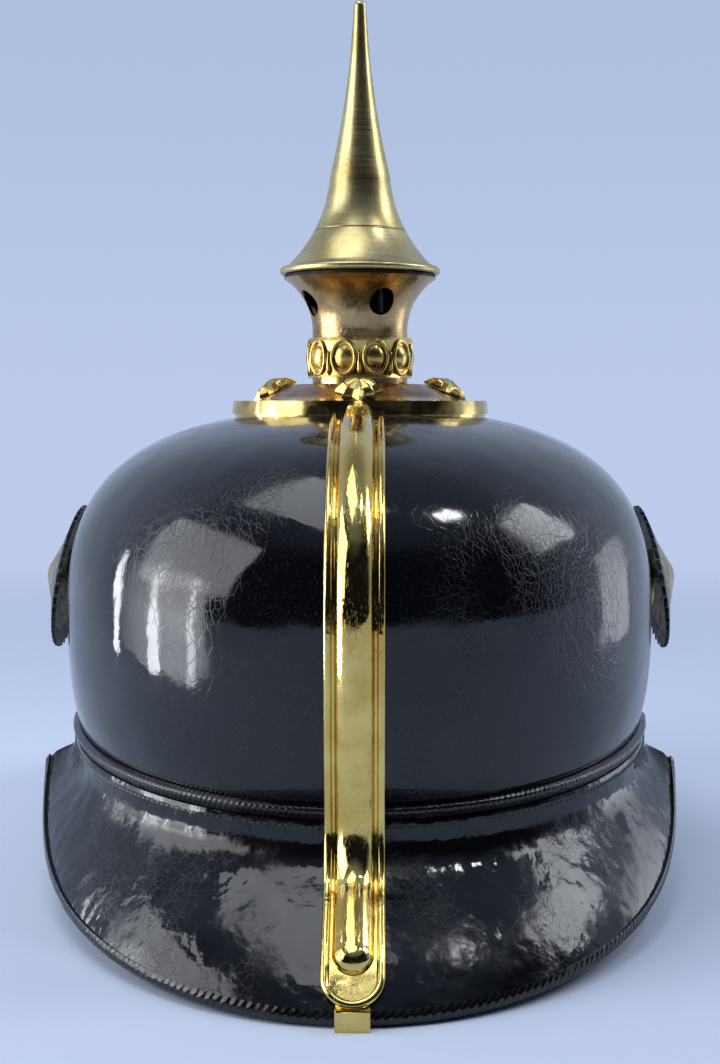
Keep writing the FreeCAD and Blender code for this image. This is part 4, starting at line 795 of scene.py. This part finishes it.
class HELMET_OT_pearl_castings(bpy.types.Operator):
    """Raise an oval rim round each pearl, with a dart between neighbours"""
    bl_idname = "helmet.pearl_castings"
    bl_label = "Pearl ring castings"

    def execute(self, context):
        sizes = context.scene.helmet_sizes
        gilt = bpy.data.materials["Gilt_casting"]
        middle = (RING_LOW.z + RING_HIGH.z) / 2
        half_height = (RING_HIGH.z - RING_LOW.z) / 2
        shape = bmesh.new()
        for number in range(sizes.pearls):
            turn = math.radians(90.0 + 180.0 / sizes.pearls + 360.0 * number / sizes.pearls)
            rim = self.oval_rim(sizes.pearl_rim, PEARL_HALF_WIDTH, half_height - 0.2 * MM)
            add_copies(shape, rim, [Matrix.Rotation(turn, 4, "Z")
                                    @ Matrix.Translation((CASTING_RADIUS, 0, middle))])
            dart = bmesh.new()
            bmesh.ops.create_cone(dart, cap_ends=True, segments=8, radius1=DART_FOOT,
                                  radius2=DART_TIP, depth=1.5 * half_height)
            bmesh.ops.translate(dart, verts=dart.verts, vec=(
                CASTING_RADIUS + 0.2 * MM, 0, middle - 0.25 * half_height))
            add_copies(shape, dart, [Matrix.Rotation(turn + math.pi / sizes.pearls, 4, "Z")])
        piece = new_piece("pearl_rims", shape, gilt, "helmet")
        soften = piece.modifiers.new("Soften", "SUBSURF")
        soften.levels = soften.render_levels = 1
        return {"FINISHED"}

    def oval_rim(self, thickness, half_width, half_height):
        """A ring of round section, drawn out to an oval that stands on the ring's face."""
        rim = bmesh.new()
        bmesh.ops.create_circle(rim, segments=8, radius=thickness / 2,
                                matrix=Matrix.Translation((0, half_width - thickness / 2, 0)))
        bmesh.ops.spin(rim, geom=rim.verts[:] + rim.edges[:], cent=(0, 0, 0), axis=(1, 0, 0),
                       angle=2 * math.pi, steps=28, use_merge=True)
        bmesh.ops.scale(rim, vec=(1, 1, half_height / half_width), verts=rim.verts)
        return rim


class HELMET_OT_studio(bpy.types.Operator):
    """Lay the floor and set the backdrop, soft lights and camera"""
    bl_idname = "helmet.studio"
    bl_label = "Studio"

    def execute(self, context):
        looks = context.scene.helmet_looks
        self.lay_floor(looks)
        self.light_the_world(looks)
        self.hang_lamps()
        self.set_camera()
        context.scene.view_settings.view_transform = "Standard"
        return {"FINISHED"}

    def lay_floor(self, looks):
        """A wide plain floor whose colour runs into the backdrop's far away."""
        material, tree, shader, mm = start_material("Plain_floor", Roughness=0.9)
        shader.inputs["Base Color"].default_value = looks.cloth
        shader.inputs["Specular IOR Level"].default_value = 0.2
        away = add_node(tree, "ShaderNodeVectorMath", {0: mm}, operation="LENGTH")
        far = remap(tree, away.outputs["Value"], 330.0, 900.0)
        glow = add_node(tree, "ShaderNodeEmission", {"Color": linear(FLOOR_GLOW),
                                                     "Strength": 1.0})
        mix = add_node(tree, "ShaderNodeMixShader", {0: far, 1: shader.outputs["BSDF"],
                                                     2: glow.outputs["Emission"]})
        output = next(node for node in tree.nodes if node.type == "OUTPUT_MATERIAL")
        tree.links.new(mix.outputs[0], output.inputs["Surface"])
        shape = bmesh.new()
        bmesh.ops.create_circle(shape, cap_ends=True, segments=96, radius=6.0)
        mesh = bpy.data.meshes.new("floor")
        shape.to_mesh(mesh)
        shape.free()
        floor = bpy.data.objects.new("floor", mesh)
        bpy.context.scene.collection.objects.link(floor)
        mesh.materials.append(material)

    def light_the_world(self, looks):
        """A pale cloth beyond the helmet, a dim room behind the camera, a grey ceiling."""
        world = bpy.data.worlds.new("Studio")
        bpy.context.scene.world = world
        world.use_nodes = True
        tree = world.node_tree
        tree.nodes.clear()
        way = add_node(tree, "ShaderNodeTexCoord").outputs["Generated"]
        parts = add_node(tree, "ShaderNodeSeparateXYZ", {"Vector": way})
        room = remap(tree, parts.outputs["Y"], -0.35, 0.25)
        above = remap(tree, parts.outputs["Z"], 0.55, 1.0)
        dim = blend(tree, room, looks.backdrop, linear("#15181f"))
        dim = blend(tree, above, dim, linear("#7f8ca3"))
        soft = add_node(tree, "ShaderNodeBackground", {"Color": dim, "Strength": 1.0})
        high = remap(tree, parts.outputs["Z"], -0.02, 0.24)
        plain = add_node(tree, "ShaderNodeBackground", {
            "Color": blend(tree, high, linear(FLOOR_GLOW), linear("#afc0de")), "Strength": 1.0})
        path = add_node(tree, "ShaderNodeLightPath")
        mix = add_node(tree, "ShaderNodeMixShader", {0: path.outputs["Is Camera Ray"],
                                                     1: soft.outputs[0], 2: plain.outputs[0]})
        add_node(tree, "ShaderNodeOutputWorld", {"Surface": mix.outputs[0]})

    def hang_lamps(self):
        """Soft boxes at their azimuth, elevation and distance, which the camera doesn't see."""
        for name, azimuth, elevation, distance, width, height, radiance in LAMPS:
            lamp = bpy.data.lights.new(name, "AREA")
            lamp.shape = "RECTANGLE"
            lamp.size, lamp.size_y = width, height
            lamp.energy = radiance * math.pi * width * height
            lamp.color = LAMP_COLOUR
            if elevation < 0.0:
                lamp.spread = math.radians(LOW_LAMP_SPREAD)
            holder = bpy.data.objects.new(name, lamp)
            holder.visible_camera = False
            bpy.context.scene.collection.objects.link(holder)
            a, e = math.radians(azimuth), math.radians(elevation)
            way = Vector((math.sin(a) * math.cos(e), math.cos(a) * math.cos(e), math.sin(e)))
            holder.location = way * distance + Vector((0, 0, LAMP_AIM))
            holder.rotation_euler = way.to_track_quat("Z", "Y").to_euler()

    def set_camera(self):
        """Behind the helmet, level with the base plate's rim and pitched a little down."""
        data = bpy.data.cameras.new("camera")
        data.sensor_fit = "AUTO"
        data.sensor_width = CAMERA_SENSOR
        data.lens = CAMERA_LENS
        camera = bpy.data.objects.new("camera", data)
        bpy.context.scene.collection.objects.link(camera)
        around = math.radians(CAMERA_TURN)
        camera.location = (CAMERA_DISTANCE * math.sin(around),
                           CAMERA_DISTANCE * math.cos(around), PLATE_RIM_TOP)
        camera.rotation_euler = (math.radians(CAMERA_PITCH), 0.0, math.pi - around)
        bpy.context.scene.camera = camera


class HELMET_PT_panel(bpy.types.Panel):
    """Lists the steps that dress the helmet"""
    bl_label = "Parade helmet"
    bl_idname = "HELMET_PT_panel"
    bl_space_type = "VIEW_3D"
    bl_region_type = "UI"
    bl_category = "Helmet"

    def draw(self, context):
        for operator in OPERATORS:
            self.layout.operator(operator.bl_idname)
        for settings in (context.scene.helmet_sizes, context.scene.helmet_looks):
            for name in settings.__annotations__:
                self.layout.prop(settings, name)


OPERATORS = (HELMET_OT_leather, HELMET_OT_brass, HELMET_OT_cockades, HELMET_OT_chin_strap,
             HELMET_OT_lining, HELMET_OT_small_metal, HELMET_OT_stitching,
             HELMET_OT_pearl_castings, HELMET_OT_studio)
CLASSES = (HelmetSizes, HelmetLooks) + OPERATORS + (HELMET_PT_panel,)


def register():
    for item in CLASSES:
        bpy.utils.register_class(item)
    bpy.types.Scene.helmet_sizes = bpy.props.PointerProperty(type=HelmetSizes)
    bpy.types.Scene.helmet_looks = bpy.props.PointerProperty(type=HelmetLooks)


def unregister():
    del bpy.types.Scene.helmet_looks
    del bpy.types.Scene.helmet_sizes
    for item in reversed(CLASSES):
        bpy.utils.unregister_class(item)


def main():
    register()
    bpy.ops.helmet.leather()
    bpy.ops.helmet.brass()
    bpy.ops.helmet.cockades()
    bpy.ops.helmet.chin_strap()
    bpy.ops.helmet.lining()
    bpy.ops.helmet.small_metal()
    bpy.ops.helmet.stitching()
    bpy.ops.helmet.pearl_castings()
    bpy.ops.helmet.studio()


if __name__ == "__main__":
    main()
